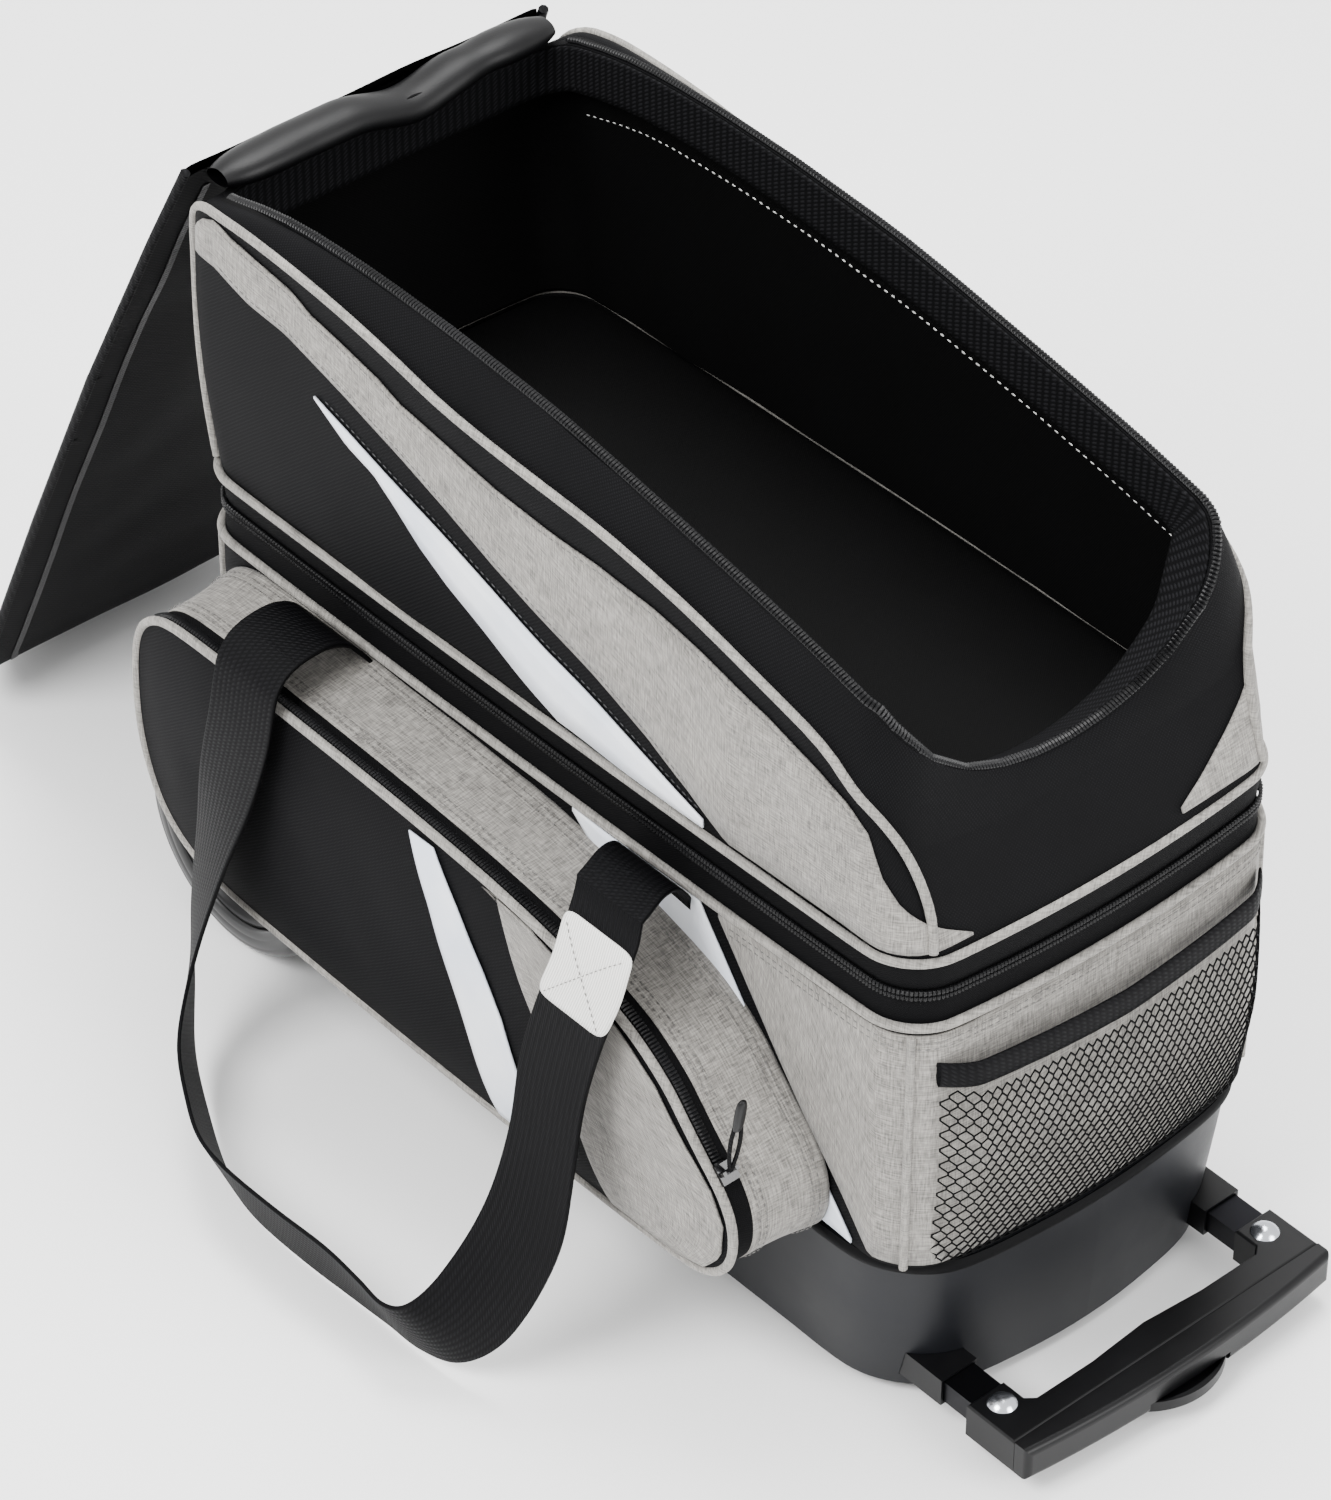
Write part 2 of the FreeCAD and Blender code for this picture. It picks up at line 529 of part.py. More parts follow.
tape = tape.cut(side_prism(moved_out(POCKET, 0.3), POCKET_FRONT, POCKET_FRONT + 20, True)).common(TRACK)
export("pocket_tape", tape)
coil = side_prism(moved_out(POCKET, 3.2), POCKET_FRONT + 5.5, POCKET_FRONT + 9.5, True)
coil = coil.cut(side_prism(moved_out(POCKET, 1.4), POCKET_FRONT + 5, POCKET_FRONT + 10, True)).common(TRACK)
export("pocket_coil", coil)
blade = side_prism([(-44, 246), (-20, 242), (66, 101), (44, 101)], POCKET_FRONT - 0.2, POCKET_FRONT - 1.2)
export("pocket_blade", blade)

# slider, drawn with its track along -X from the origin and its outer face up, then turned into place
SLIDE = V(-0.682, 0, 0.731)
SLIDER_Y = POCKET_FRONT + 7.5
slider = box(-11, 0, -5.5, 5.5, 1.8, 5.4)
slider = slider.cut(box(-12, 1, -3, 3, 0, 3.9))
for side in (-1, 1):
    slider = slider.fuse(box(-6.6, -4.4, side * 4 - 1, side * 4 + 1, 5, 9))
slider = slider.fuse(rod((-5.5, -4, 8), (-5.5, 4, 8), 1)).removeSplitter()
pull = box(-7.2, -3.8, -2.7, 2.7, 6, 9.9).cut(rod((-5.5, -9, 8), (-5.5, 9, 8), 1.05))
pull = pull.fuse(box(-5.5, 48, -2.7, 2.7, 9.1, 11.9)).cut(rod((-5.5, -9, 8), (-5.5, 9, 8), 1.05))
turn = math.degrees(math.acos(-SLIDE.x))
for shape in (slider, pull):
    shape.rotate(V(0, 0, 0), V(0, 1, 0), turn)
    shape.translate(V(211.5, SLIDER_Y, 163.7))
pivot = V(-5.5, 0, 8)
a = math.radians(turn)
pivot = V(pivot.x * math.cos(a) + pivot.z * math.sin(a), SLIDER_Y, -pivot.x * math.sin(a) + pivot.z * math.cos(a))
pivot = pivot + V(211.5, 0, 163.7)
pull.rotate(pivot, V(0, 1, 0), -132)
export("pocket_slider", slider)
export("pocket_pull", pull)


# ---- carry straps ----
def strap(path, legs, bar):
    """Webbing bent along (y, z) points: two legs joined by a bar at the far end."""
    curve = Part.BSplineCurve()
    curve.interpolate([V(0, y, z) for y, z in path])
    faces = []
    steps = 40
    first, last = curve.FirstParameter, curve.LastParameter
    near_side, far_side = [], []
    for k in range(steps + 1):
        u = first + (last - first) * k / steps
        p, t = curve.value(u), curve.tangent(u)[0]
        near_side.append(V(0, p.y - t.z * STRAP_T / 2, p.z + t.y * STRAP_T / 2))
        far_side.append(V(0, p.y + t.z * STRAP_T / 2, p.z - t.y * STRAP_T / 2))
    a, b = Part.BSplineCurve(), Part.BSplineCurve()
    a.interpolate(near_side)
    b.interpolate(far_side)
    wire = Part.Wire([a.toShape(), Part.makeLine(near_side[-1], far_side[-1]), b.toShape(),
                      Part.makeLine(far_side[0], near_side[0])])
    x0, x1 = legs[0] - STRAP_W / 2, legs[1] + STRAP_W / 2
    face = Part.Face(wire)
    face.translate(V(x0, 0, 0))
    whole = face.extrude(V(x1 - x0, 0, 0))
    if x1 - x0 < STRAP_W + 1:
        return whole
    return whole.cut(box(x0 + STRAP_W, x1 - STRAP_W, *bar))


root_path = [(-139, 268), (-142, 279), (-160, 288.5), (-181, 287.5)]
root_legs = [strap(root_path, (x, x), (0, 1, 0, 1)) for x in (-153, 100)]
export("strap_near_root", *root_legs)
near_path = [(-184, 287), (-198, 275), (-206, 250), (-216, 205), (-236, 140), (-258, 82), (-278, 40), (-291, 8)]
export("strap_near", strap(near_path, (-153, 100), (-280, -100, 48, 320)))
far_path = [(139.5, 264), (140, 200), (140.5, 120), (144, 60), (160, 25), (195, 8), (250, 4), (291, 3)]
export("strap_far", strap(far_path, (-145, 100), (100, 243, -5, 320)))
cover_path = [(-193, 285.4), (-200.8, 275.8), (-205.6, 264), (-208.9, 251), (-212.4, 235)]
export("strap_patch", strap(cover_path, (100, 100), (0, 1, 0, 1)))
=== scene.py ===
import json
import math

import bmesh
import bpy
from mathutils import Vector, noise
from mathutils.bvhtree import BVHTree
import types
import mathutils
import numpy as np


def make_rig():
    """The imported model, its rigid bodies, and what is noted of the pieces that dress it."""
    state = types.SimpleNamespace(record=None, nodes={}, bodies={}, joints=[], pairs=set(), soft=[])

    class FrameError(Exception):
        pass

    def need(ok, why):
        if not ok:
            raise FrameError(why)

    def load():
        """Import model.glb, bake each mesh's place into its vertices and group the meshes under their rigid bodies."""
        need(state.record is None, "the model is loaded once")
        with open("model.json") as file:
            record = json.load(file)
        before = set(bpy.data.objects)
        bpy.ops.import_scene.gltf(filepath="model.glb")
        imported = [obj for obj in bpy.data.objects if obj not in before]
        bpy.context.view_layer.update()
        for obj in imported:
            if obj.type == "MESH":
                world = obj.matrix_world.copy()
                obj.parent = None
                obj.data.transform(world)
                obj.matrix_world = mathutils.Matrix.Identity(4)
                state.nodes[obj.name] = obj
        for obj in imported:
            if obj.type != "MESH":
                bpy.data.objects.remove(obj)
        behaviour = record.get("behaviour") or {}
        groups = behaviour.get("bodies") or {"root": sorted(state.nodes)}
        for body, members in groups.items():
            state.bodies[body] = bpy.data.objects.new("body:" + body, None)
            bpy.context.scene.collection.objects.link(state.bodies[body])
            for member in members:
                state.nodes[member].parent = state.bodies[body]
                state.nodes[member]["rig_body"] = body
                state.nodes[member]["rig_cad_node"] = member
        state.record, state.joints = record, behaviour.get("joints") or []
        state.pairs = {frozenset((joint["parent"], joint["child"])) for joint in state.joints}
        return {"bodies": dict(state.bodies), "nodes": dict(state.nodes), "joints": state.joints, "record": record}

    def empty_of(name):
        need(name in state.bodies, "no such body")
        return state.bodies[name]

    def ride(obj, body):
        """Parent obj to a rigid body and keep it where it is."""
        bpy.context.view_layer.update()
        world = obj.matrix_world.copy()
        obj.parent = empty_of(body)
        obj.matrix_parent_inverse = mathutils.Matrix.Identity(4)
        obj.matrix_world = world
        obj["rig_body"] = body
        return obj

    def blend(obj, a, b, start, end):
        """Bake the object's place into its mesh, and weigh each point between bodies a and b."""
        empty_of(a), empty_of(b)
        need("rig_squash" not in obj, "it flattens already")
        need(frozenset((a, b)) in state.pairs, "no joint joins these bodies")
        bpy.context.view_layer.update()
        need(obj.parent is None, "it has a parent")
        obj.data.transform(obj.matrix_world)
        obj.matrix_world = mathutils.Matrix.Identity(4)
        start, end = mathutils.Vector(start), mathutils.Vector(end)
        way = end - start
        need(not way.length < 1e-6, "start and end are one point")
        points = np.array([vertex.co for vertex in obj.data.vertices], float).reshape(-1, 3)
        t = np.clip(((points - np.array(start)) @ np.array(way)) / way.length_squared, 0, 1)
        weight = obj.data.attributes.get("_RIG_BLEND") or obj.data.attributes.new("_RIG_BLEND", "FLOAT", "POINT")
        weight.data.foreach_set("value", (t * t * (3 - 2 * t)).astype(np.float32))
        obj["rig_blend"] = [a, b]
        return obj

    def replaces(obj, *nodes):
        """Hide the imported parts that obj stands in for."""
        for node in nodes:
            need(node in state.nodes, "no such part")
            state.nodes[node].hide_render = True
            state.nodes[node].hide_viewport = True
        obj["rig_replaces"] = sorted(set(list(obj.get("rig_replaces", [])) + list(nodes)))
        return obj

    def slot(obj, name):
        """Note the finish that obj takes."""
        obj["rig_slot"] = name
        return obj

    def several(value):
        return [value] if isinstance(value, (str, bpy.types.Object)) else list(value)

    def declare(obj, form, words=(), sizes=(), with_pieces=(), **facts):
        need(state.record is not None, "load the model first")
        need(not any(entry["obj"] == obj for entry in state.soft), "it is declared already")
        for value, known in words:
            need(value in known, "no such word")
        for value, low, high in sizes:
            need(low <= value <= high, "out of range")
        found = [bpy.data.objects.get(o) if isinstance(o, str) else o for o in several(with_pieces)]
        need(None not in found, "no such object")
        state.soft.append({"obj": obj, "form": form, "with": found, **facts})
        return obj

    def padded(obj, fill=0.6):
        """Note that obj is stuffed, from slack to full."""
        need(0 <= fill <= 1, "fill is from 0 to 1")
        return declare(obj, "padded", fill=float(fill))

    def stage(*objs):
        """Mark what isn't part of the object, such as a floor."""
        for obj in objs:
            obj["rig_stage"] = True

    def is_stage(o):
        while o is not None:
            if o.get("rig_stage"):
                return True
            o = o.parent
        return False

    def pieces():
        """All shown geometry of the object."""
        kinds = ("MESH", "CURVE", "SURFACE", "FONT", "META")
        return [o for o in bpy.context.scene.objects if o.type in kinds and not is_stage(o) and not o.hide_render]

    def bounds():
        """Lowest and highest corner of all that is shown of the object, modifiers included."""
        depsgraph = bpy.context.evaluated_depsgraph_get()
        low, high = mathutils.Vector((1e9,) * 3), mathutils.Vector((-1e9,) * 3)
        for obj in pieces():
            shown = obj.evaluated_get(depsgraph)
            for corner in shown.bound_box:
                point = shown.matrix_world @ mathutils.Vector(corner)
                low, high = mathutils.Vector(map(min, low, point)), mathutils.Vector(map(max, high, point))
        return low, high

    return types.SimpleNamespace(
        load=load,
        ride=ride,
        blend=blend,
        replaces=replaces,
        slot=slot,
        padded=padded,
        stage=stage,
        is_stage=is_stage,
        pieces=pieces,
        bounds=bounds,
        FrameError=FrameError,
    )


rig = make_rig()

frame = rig.load()
cad_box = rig.bounds()

# Rolling bowling bag. Lengths in the helpers are millimetres about the middle of the bag's shell;
# place() turns them into metres in the row frame.
SHIFT = 100.0
CORNER = 27
WALL = 5
BELT_LOW, BELT_HIGH = 269, 313
WHEEL_X, WHEEL_R = -247.0, 73.3
V = Vector


def place(x, y, z):
    """A point of the shell, in millimetres, as a vector of the row frame, in metres."""
    return V(((x + SHIFT) / 1000, y / 1000, z / 1000))


def mix(a, b, t):
    return a + (b - a) * t


def interpolate(table, x):
    """Straight-line reading of a table of (x, value) pairs in rising x."""
    if x <= table[0][0]:
        return table[0][1]
    for (x0, y0), (x1, y1) in zip(table, table[1:]):
        if x <= x1:
            return y0 + (y1 - y0) * (x - x0) / (x1 - x0)
    return table[-1][1]


# ---------------------------------------------------------------- materials
def linear(code, alpha=1.0):
    """A hexadecimal screen colour as linear light."""
    def channel(v):
        return v / 12.92 if v <= 0.04045 else ((v + 0.055) / 1.055) ** 2.4
    return tuple(channel(int(code[k:k + 2], 16) / 255) for k in (0, 2, 4)) + (alpha,)


def node(tree, kind, links=(), **settings):
    """One shader node with its settings; links are (socket, source) pairs or (socket, value)."""
    made = tree.nodes.new("ShaderNode" + kind)
    for name, value in settings.items():
        setattr(made, name, value)
    for socket, value in links:
        if isinstance(value, bpy.types.NodeSocket):
            tree.links.new(value, made.inputs[socket])
        else:
            made.inputs[socket].default_value = value
    return made


def new_material(name, roughness, colour=None, **sockets):
    material = bpy.data.materials.new(name)
    material.use_nodes = True
    tree = material.node_tree
    shader = tree.nodes["Principled BSDF"]
    shader.inputs["Roughness"].default_value = roughness
    if colour:
        shader.inputs["Base Color"].default_value = linear(colour)
        material.diffuse_color = linear(colour)
    for socket, value in sockets.items():
        shader.inputs[socket.replace("_", " ")].default_value = value
    return material, tree, shader


def bump(tree, shader, height, distance, strength=1.0, below=None):
    links = [("Height", height), ("Distance", distance), ("Strength", strength)]
    if below:
        links.append(("Normal", below))
    made = node(tree, "Bump", links)
    tree.links.new(made.outputs[0], shader.inputs["Normal"])
    return made.outputs[0]


def ramp(tree, value, stops):
    made = node(tree, "ValToRGB", [("Fac", value)])
    elements = made.color_ramp.elements
    while len(elements) < len(stops):
        elements.new(0.5)
    for element, (place_at, colour) in zip(elements, stops):
        element.position = place_at
        element.color = linear(colour) if isinstance(colour, str) else (colour,) * 3 + (1,)
    return made.outputs[0]


def cloth_map(tree, scale, turn=0.0):
    """The piece's own UV map, laid out in metres, so a thread keeps its size everywhere."""
    uv = node(tree, "UVMap", uv_map="cloth").outputs[0]
    return node(tree, "Mapping", [("Vector", uv), ("Scale", (scale, scale, scale)),
                                  ("Rotation", (0, 0, turn))]).outputs[0]


def band_scale(mm):
    """Wave scale for threads of about mm: a band and its gap come out twice that apart."""
    return 1000 / mm / 6.28


def wave(tree, vector, scale, direction="X", distortion=0.0, detail=0.0):
    links = [("Vector", vector), ("Scale", scale), ("Distortion", distortion), ("Detail", detail)]
    return node(tree, "TexWave", links, bands_direction=direction).outputs["Fac"]


def clouds(tree, vector, scale, detail=3.0, roughness=0.5):
    links = [("Vector", vector), ("Scale", scale), ("Detail", detail), ("Roughness", roughness)]
    return node(tree, "TexNoise", links).outputs["Fac"]


def joined(tree, a, b, fac=0.5, blend="MIX"):
    made = node(tree, "Mix", data_type="RGBA", blend_type=blend)
    for socket, value in ((0, fac), (6, a), (7, b)):
        if isinstance(value, bpy.types.NodeSocket):
            tree.links.new(value, made.inputs[socket])
        else:
            made.inputs[socket].default_value = value if socket == 0 else linear(value)
    return made.outputs[2]


def polyester_twill(name, dark, light, thread_mm=0.9, roughness=0.72):
    # 1680D polyester twill: fine diagonal ribs with a dull sheen and slight dye clouding.
    # The real ribs are about 0.6 mm apart; they are drawn coarser, so that they show.
    material, tree, shader = new_material(name, roughness, None, Specular_IOR_Level=0.08)
    across = cloth_map(tree, 1.0, math.radians(52))
    ribs = wave(tree, across, band_scale(thread_mm), "X")
    along = cloth_map(tree, 1.0, math.radians(-38))
    crossing = wave(tree, along, band_scale(thread_mm * 0.8), "X")
    weave = node(tree, "Math", [(0, ribs), (1, crossing)], operation="MULTIPLY").outputs[0]
    fading = clouds(tree, cloth_map(tree, 18.0), 1.0, 4.0)
    yarn = node(tree, "Math", [(0, weave), (1, fading)], operation="MULTIPLY").outputs[0]
    tree.links.new(ramp(tree, yarn, [(0.03, dark), (0.5, light)]), shader.inputs["Base Color"])
    bump(tree, shader, weave, 0.00018, 0.75)
    material.diffuse_color = linear(dark)
    return material


def heather_weave(name, pale, middle, dark, yarn_mm=0.9, roughness=0.82):
    # Melange polyester: grey yarns dyed unevenly, so short light and dark dashes run both ways.
    material, tree, shader = new_material(name, roughness, None, Sheen_Weight=0.1, Sheen_Roughness=0.6)
    uv = node(tree, "UVMap", uv_map="cloth").outputs[0]
    rows = []
    for stretch in ((90, 1100, 1), (1100, 110, 1)):
        laid = node(tree, "Mapping", [("Vector", uv), ("Scale", stretch)]).outputs[0]
        rows.append(clouds(tree, laid, 1.0, 2.0, 0.6))
    dashes = node(tree, "Math", [(0, rows[0]), (1, rows[1])], operation="ADD").outputs[0]
    halved = node(tree, "Math", [(0, dashes), (1, 0.5)], operation="MULTIPLY").outputs[0]
    patches = clouds(tree, cloth_map(tree, 30.0), 1.0, 3.0)
    shade = joined(tree, ramp(tree, halved, [(0.36, dark), (0.5, middle), (0.62, pale)]),
                   ramp(tree, patches, [(0.3, dark), (0.7, pale)]), 0.18)
    tree.links.new(shade, shader.inputs["Base Color"])
    warp = wave(tree, uv, band_scale(yarn_mm), "X")
    weft = wave(tree, uv, band_scale(yarn_mm), "Y")
    threads = node(tree, "Math", [(0, warp), (1, weft)], operation="ADD").outputs[0]
    lumps = node(tree, "Math", [(0, threads), (1, halved)], operation="MULTIPLY").outputs[0]
    bump(tree, shader, lumps, 0.0002, 0.7)
    material.diffuse_color = linear(middle)
    return material


def ribbed_webbing(name, dark, light, rib_mm=1.9, roughness=0.62, yarn_mm=1.1):
    # Polyester webbing: herringbone yarns in ribs across the strap, edges bound tight.
    material, tree, shader = new_material(name, roughness, None, Specular_IOR_Level=0.08)
    uv = node(tree, "UVMap", uv_map="cloth").outputs[0]
    ribs = wave(tree, uv, band_scale(rib_mm), "X", 0.6, 1.0)
    yarns = wave(tree, cloth_map(tree, 1.0, math.radians(32)), band_scale(yarn_mm), "Y")
    weave = node(tree, "Math", [(0, ribs), (1, yarns)], operation="MULTIPLY").outputs[0]
    tree.links.new(ramp(tree, weave, [(0.05, dark), (0.6, light)]), shader.inputs["Base Color"])
    bump(tree, shader, weave, 0.0004, 0.8)
    material.diffuse_color = linear(dark)
    return material


def moulded(name, colour, worn, grain_mm, roughness, depth=0.00006, **sockets):
    # Injection-moulded plastic: an even spark-eroded grain, and faint rubbed patches.
    sockets.setdefault("Specular_IOR_Level", 0.22)
    material, tree, shader = new_material(name, roughness, None, **sockets)
    where = node(tree, "TexCoord").outputs["Object"]
    grain = clouds(tree, where, 1000 / grain_mm, 2.0)
    rubbed = clouds(tree, where, 14.0, 5.0, 0.65)
    tree.links.new(ramp(tree, rubbed, [(0.38, colour), (0.75, worn)]), shader.inputs["Base Color"])
    tree.links.new(ramp(tree, rubbed, [(0.3, roughness * 0.9), (0.8, min(1, roughness * 1.25))]),
                   shader.inputs["Roughness"])
    bump(tree, shader, grain, depth, 0.6)
    material.diffuse_color = linear(colour)
    return material


def turned_metal(name, colour, roughness, scratch_mm=0.25):
    # Bright steel or anodised tube: fine lengthwise drawing lines.
    material, tree, shader = new_material(name, roughness, colour, Metallic=1.0)
    where = node(tree, "TexCoord").outputs["Object"]
    fine = 1000 / scratch_mm
    lines = node(tree, "Mapping", [("Vector", where), ("Scale", (30, fine, fine))]).outputs[0]
    marks = clouds(tree, lines, 1.0, 2.0)
    tree.links.new(ramp(tree, marks, [(0.3, roughness * 0.8), (0.7, min(1, roughness * 1.3))]),
                   shader.inputs["Roughness"])
    bump(tree, shader, marks, 0.00002, 0.4)
    return material


BLACK_TWILL = polyester_twill("twill_polyester_black", "020203", "0E0E10")
# a darker copy of the black twill for the lid and the hinges: painted shade
PAINTED_SHADE_TWILL = polyester_twill("twill_polyester_painted_shade", "010102", "070708")
HEATHER = heather_weave("heather_polyester_grey", "918E88", "73706B", "423F3D")
LINING = polyester_twill("nylon_lining_black", "020202", "070708", 0.7, 0.7)
ROLL_NYLON = moulded("coated_nylon_black", "020203", "060607", 0.9, 0.42, 0.00012)
FACING = ribbed_webbing("spacer_mesh_facing", "050506", "161618", 2.6, 0.85)
WEBBING = ribbed_webbing("polyester_webbing_black", "020203", "0B0B0D")
BINDING = ribbed_webbing("grosgrain_binding_black", "020203", "0D0D0F", 2.2)
TAPE = polyester_twill("zip_tape_black", "020203", "09090A", 0.6, 0.8)
COIL = moulded("nylon_coil_black", "050506", "121214", 0.6, 0.38)
PIPING = heather_weave("heather_piping_grey", "918E88", "787570", "4C4A47")
BASE_PLASTIC = moulded("polypropylene_charcoal", "0E0F12", "15161A", 0.55, 0.42)
ABS_BLACK = moulded("abs_black", "040405", "0A0A0C", 0.5, 0.36)
WHEEL_PLASTIC = moulded("urethane_black", "030304", "08080A", 1.2, 0.3, 0.00002,
                        Coat_Weight=0.12, Specular_IOR_Level=0.4)
TUBE_PAINT = turned_metal("anodised_tube_black", "1C1C1F", 0.38)
STEEL = turned_metal("zinc_steel", "B9BBC0", 0.3)
RIVET_STEEL = turned_metal("polished_rivet", "C9CCD2", 0.2)
SLIDER_METAL = moulded("enamelled_slider_black", "0B0B0C", "1C1C1E", 0.4, 0.25, 0.00001, Coat_Weight=0.5)
FOAM = moulded("closed_cell_foam", "1C1C1E", "2A2A2C", 1.5, 0.9, 0.0003)


def vinyl_sheet():
    # Calendered white vinyl: smooth, with a soft shine; cloudy bluish-grey patches of painted shade stand in for the
    # shade in its hollows.
    material, tree, shader = new_material("calendered_vinyl_white", 0.42, None, Coat_Weight=0.1)
    where = node(tree, "TexCoord").outputs["Object"]
    # painted shade: random bluish-grey patches darken the white
    painted_shade_patches = clouds(tree, where, 16.0, 4.0)
    tree.links.new(ramp(tree, painted_shade_patches, [(0.3, "C9D0DC"), (0.62, "E4E7EC")]), shader.inputs["Base Color"])
    bump(tree, shader, clouds(tree, where, 900.0, 2.0), 0.00003, 0.5)
    material.diffuse_color = linear("EEF0F4")
    return material


def woven_label():
    # Woven damask label: white satin yarns, plain, with a dull weave and no printing.
    material, tree, shader = new_material("damask_label_white", 0.6, None)
    uv = node(tree, "UVMap", uv_map="cloth").outputs[0]
    threads = wave(tree, uv, band_scale(0.8), "X")
    tree.links.new(ramp(tree, threads, [(0.1, "BDBCB8"), (0.7, "E2E1DD")]), shader.inputs["Base Color"])
    bump(tree, shader, threads, 0.0002, 0.6)
    material.diffuse_color = linear("E8E7E3")
    return material


def sewing_thread(name, colour):
    # Bonded polyester thread: two plies, a slight shine, and a painted tone on the plies: a painted highlight on black
    # thread, painted shade on grey and white thread.
    material, tree, shader = new_material(name, 0.5, None)
    where = node(tree, "TexCoord").outputs["Object"]
    ply = clouds(tree, where, 1500.0, 1.0)
    # painted tone on the plies: painted highlight on black thread, painted shade on grey and white thread
    lit = "C8C8C8" if colour > "88" else "3A3A3C"
    tree.links.new(ramp(tree, ply, [(0.3, colour), (0.8, lit)]), shader.inputs["Base Color"])
    return material


VINYL = vinyl_sheet()
LABEL = woven_label()
THREAD_BLACK = sewing_thread("thread_black", "101012")
THREAD_GREY = sewing_thread("thread_grey", "6E6C68")
THREAD_WHITE = sewing_thread("thread_white", "D8D8D4")


# ---------------------------------------------------------------- mesh helpers
def finish_piece(obj, body, slot, replaces=(), material=None, smooth=True):
    """Give a piece its material, body and slot, and say which design nodes it stands for."""
    if material is not None:
        obj.data.materials.clear()
        obj.data.materials.append(material)
    if smooth and obj.type == "MESH":
        obj.data.polygons.foreach_set("use_smooth", [True] * len(obj.data.polygons))
    if body:
        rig.ride(obj, body)
    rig.slot(obj, slot)
    if replaces:
        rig.replaces(obj, *replaces)
    return obj


def link(name, data):
    obj = bpy.data.objects.new(name, data)
    bpy.context.scene.collection.objects.link(obj)
    return obj


def grid_mesh(name, rows, close_u=False, close_v=False):
    """Quads over rows of points, with a UV map in metres along the rows and up them."""
    mesh = bpy.data.meshes.new(name)
    bm = bmesh.new()
    layer = bm.loops.layers.uv.new("cloth")
    grid = [[bm.verts.new(p) for p in row] for row in rows]
    count_u, count_v = len(rows[0]), len(rows)
    us = []
    for row in rows:
        total, line = 0.0, [0.0]
        for a, b in zip(row, row[1:] + [row[0]]):
            total += (b - a).length
            line.append(total)
        us.append(line)
    columns = []
    for k in range(count_u):
        total, line = 0.0, [0.0]
        for j in range(count_v):
            total += (rows[(j + 1) % count_v][k] - rows[j][k]).length
            line.append(total)
        columns.append(line)
    middle = us[count_v // 2]
    for j in range(count_v - (0 if close_v else 1)):
        for k in range(count_u - (0 if close_u else 1)):
            k1, j1 = (k + 1) % count_u, (j + 1) % count_v
            face = bm.faces.new((grid[j][k], grid[j][k1], grid[j1][k1], grid[j1][k]))
            corners = ((k, j), (k + 1, j), (k + 1, j + 1), (k, j + 1))
            for loop, (cu, cv) in zip(face.loops, corners):
                loop[layer].uv = (middle[cu], columns[min(cu, count_u - 1)][cv])
    bm.to_mesh(mesh)
    bm.free()
    return link(name, mesh)


def flat_uv(obj, across=0, up=2):
    """Lay the cloth flat on a panel: its UV map from two of the axes, in metres."""
    layer = obj.data.uv_layers["cloth"].data
    for loop in obj.data.loops:
        co = obj.data.vertices[loop.vertex_index].co
        layer[loop.index].uv = (co[across], co[up])
    return obj


def merged(obj, gap=0.0004):
    """Join the points that fall together, as at a closed tip."""
    bm = bmesh.new()
    bm.from_mesh(obj.data)
    bmesh.ops.remove_doubles(bm, verts=bm.verts, dist=gap)
    bmesh.ops.dissolve_degenerate(bm, dist=1e-6, edges=bm.edges)
    bm.to_mesh(obj.data)
    bm.free()
    return obj


def modifier(obj, kind, **settings):
    made = obj.modifiers.new(kind.title(), kind)
    for name, value in settings.items():
        setattr(made, name, value)
    return made


def subdivide(obj, levels=1):
    return modifier(obj, "SUBSURF", levels=levels, render_levels=levels)


def thicken(obj, metres, offset=-1.0):
    return modifier(obj, "SOLIDIFY", thickness=metres, offset=offset, use_even_offset=True)


def apply_stack(obj):
    bpy.context.view_layer.update()
    graph = bpy.context.evaluated_depsgraph_get()
    mesh = bpy.data.meshes.new_from_object(obj.evaluated_get(graph))
    obj.modifiers.clear()
    obj.data = mesh
    return obj


def surface_tree(obj):
    bpy.context.view_layer.update()
    return BVHTree.FromObject(obj, bpy.context.evaluated_depsgraph_get())


def on_skin(tree, point, out_mm, away=None):
    """The nearest point of a finished skin, lifted off its outer face."""
    hit, normal, _, _ = tree.find_nearest(point)
    if away is not None and normal.dot(away) < 0:
        normal = -normal
    return hit + normal * out_mm / 1000


def bead(name, points, radius_mm, closed=False, resolution=4):
    """Round cord along smooth points: a curve with its own bevel, made a mesh with a UV map."""
    curve = bpy.data.curves.new(name, "CURVE")
    curve.dimensions = "3D"
    spline = curve.splines.new("NURBS")
    spline.points.add(len(points) - 1)
    for p, q in zip(spline.points, points):
        p.co = (*q, 1)
    spline.use_cyclic_u = closed
    spline.use_endpoint_u = not closed
    spline.order_u = 3
    curve.resolution_u = 3
    curve.bevel_depth = radius_mm / 1000
    curve.bevel_resolution = resolution // 2
    curve.use_fill_caps = not closed
    obj = link(name, curve)
    bpy.context.view_layer.update()
    graph = bpy.context.evaluated_depsgraph_get()
    mesh = bpy.data.meshes.new_from_object(obj.evaluated_get(graph))
    bpy.data.objects.remove(obj)
    made = link(name, mesh)
    around = mesh.uv_layers.new(name="cloth") if not mesh.uv_layers else mesh.uv_layers[0]
    around.name = "cloth"
    for loop in mesh.loops:
        co = mesh.vertices[loop.vertex_index].co
        around.data[loop.index].uv = (co.x + 0.7 * co.y, co.z + 0.3 * co.y)
    return made


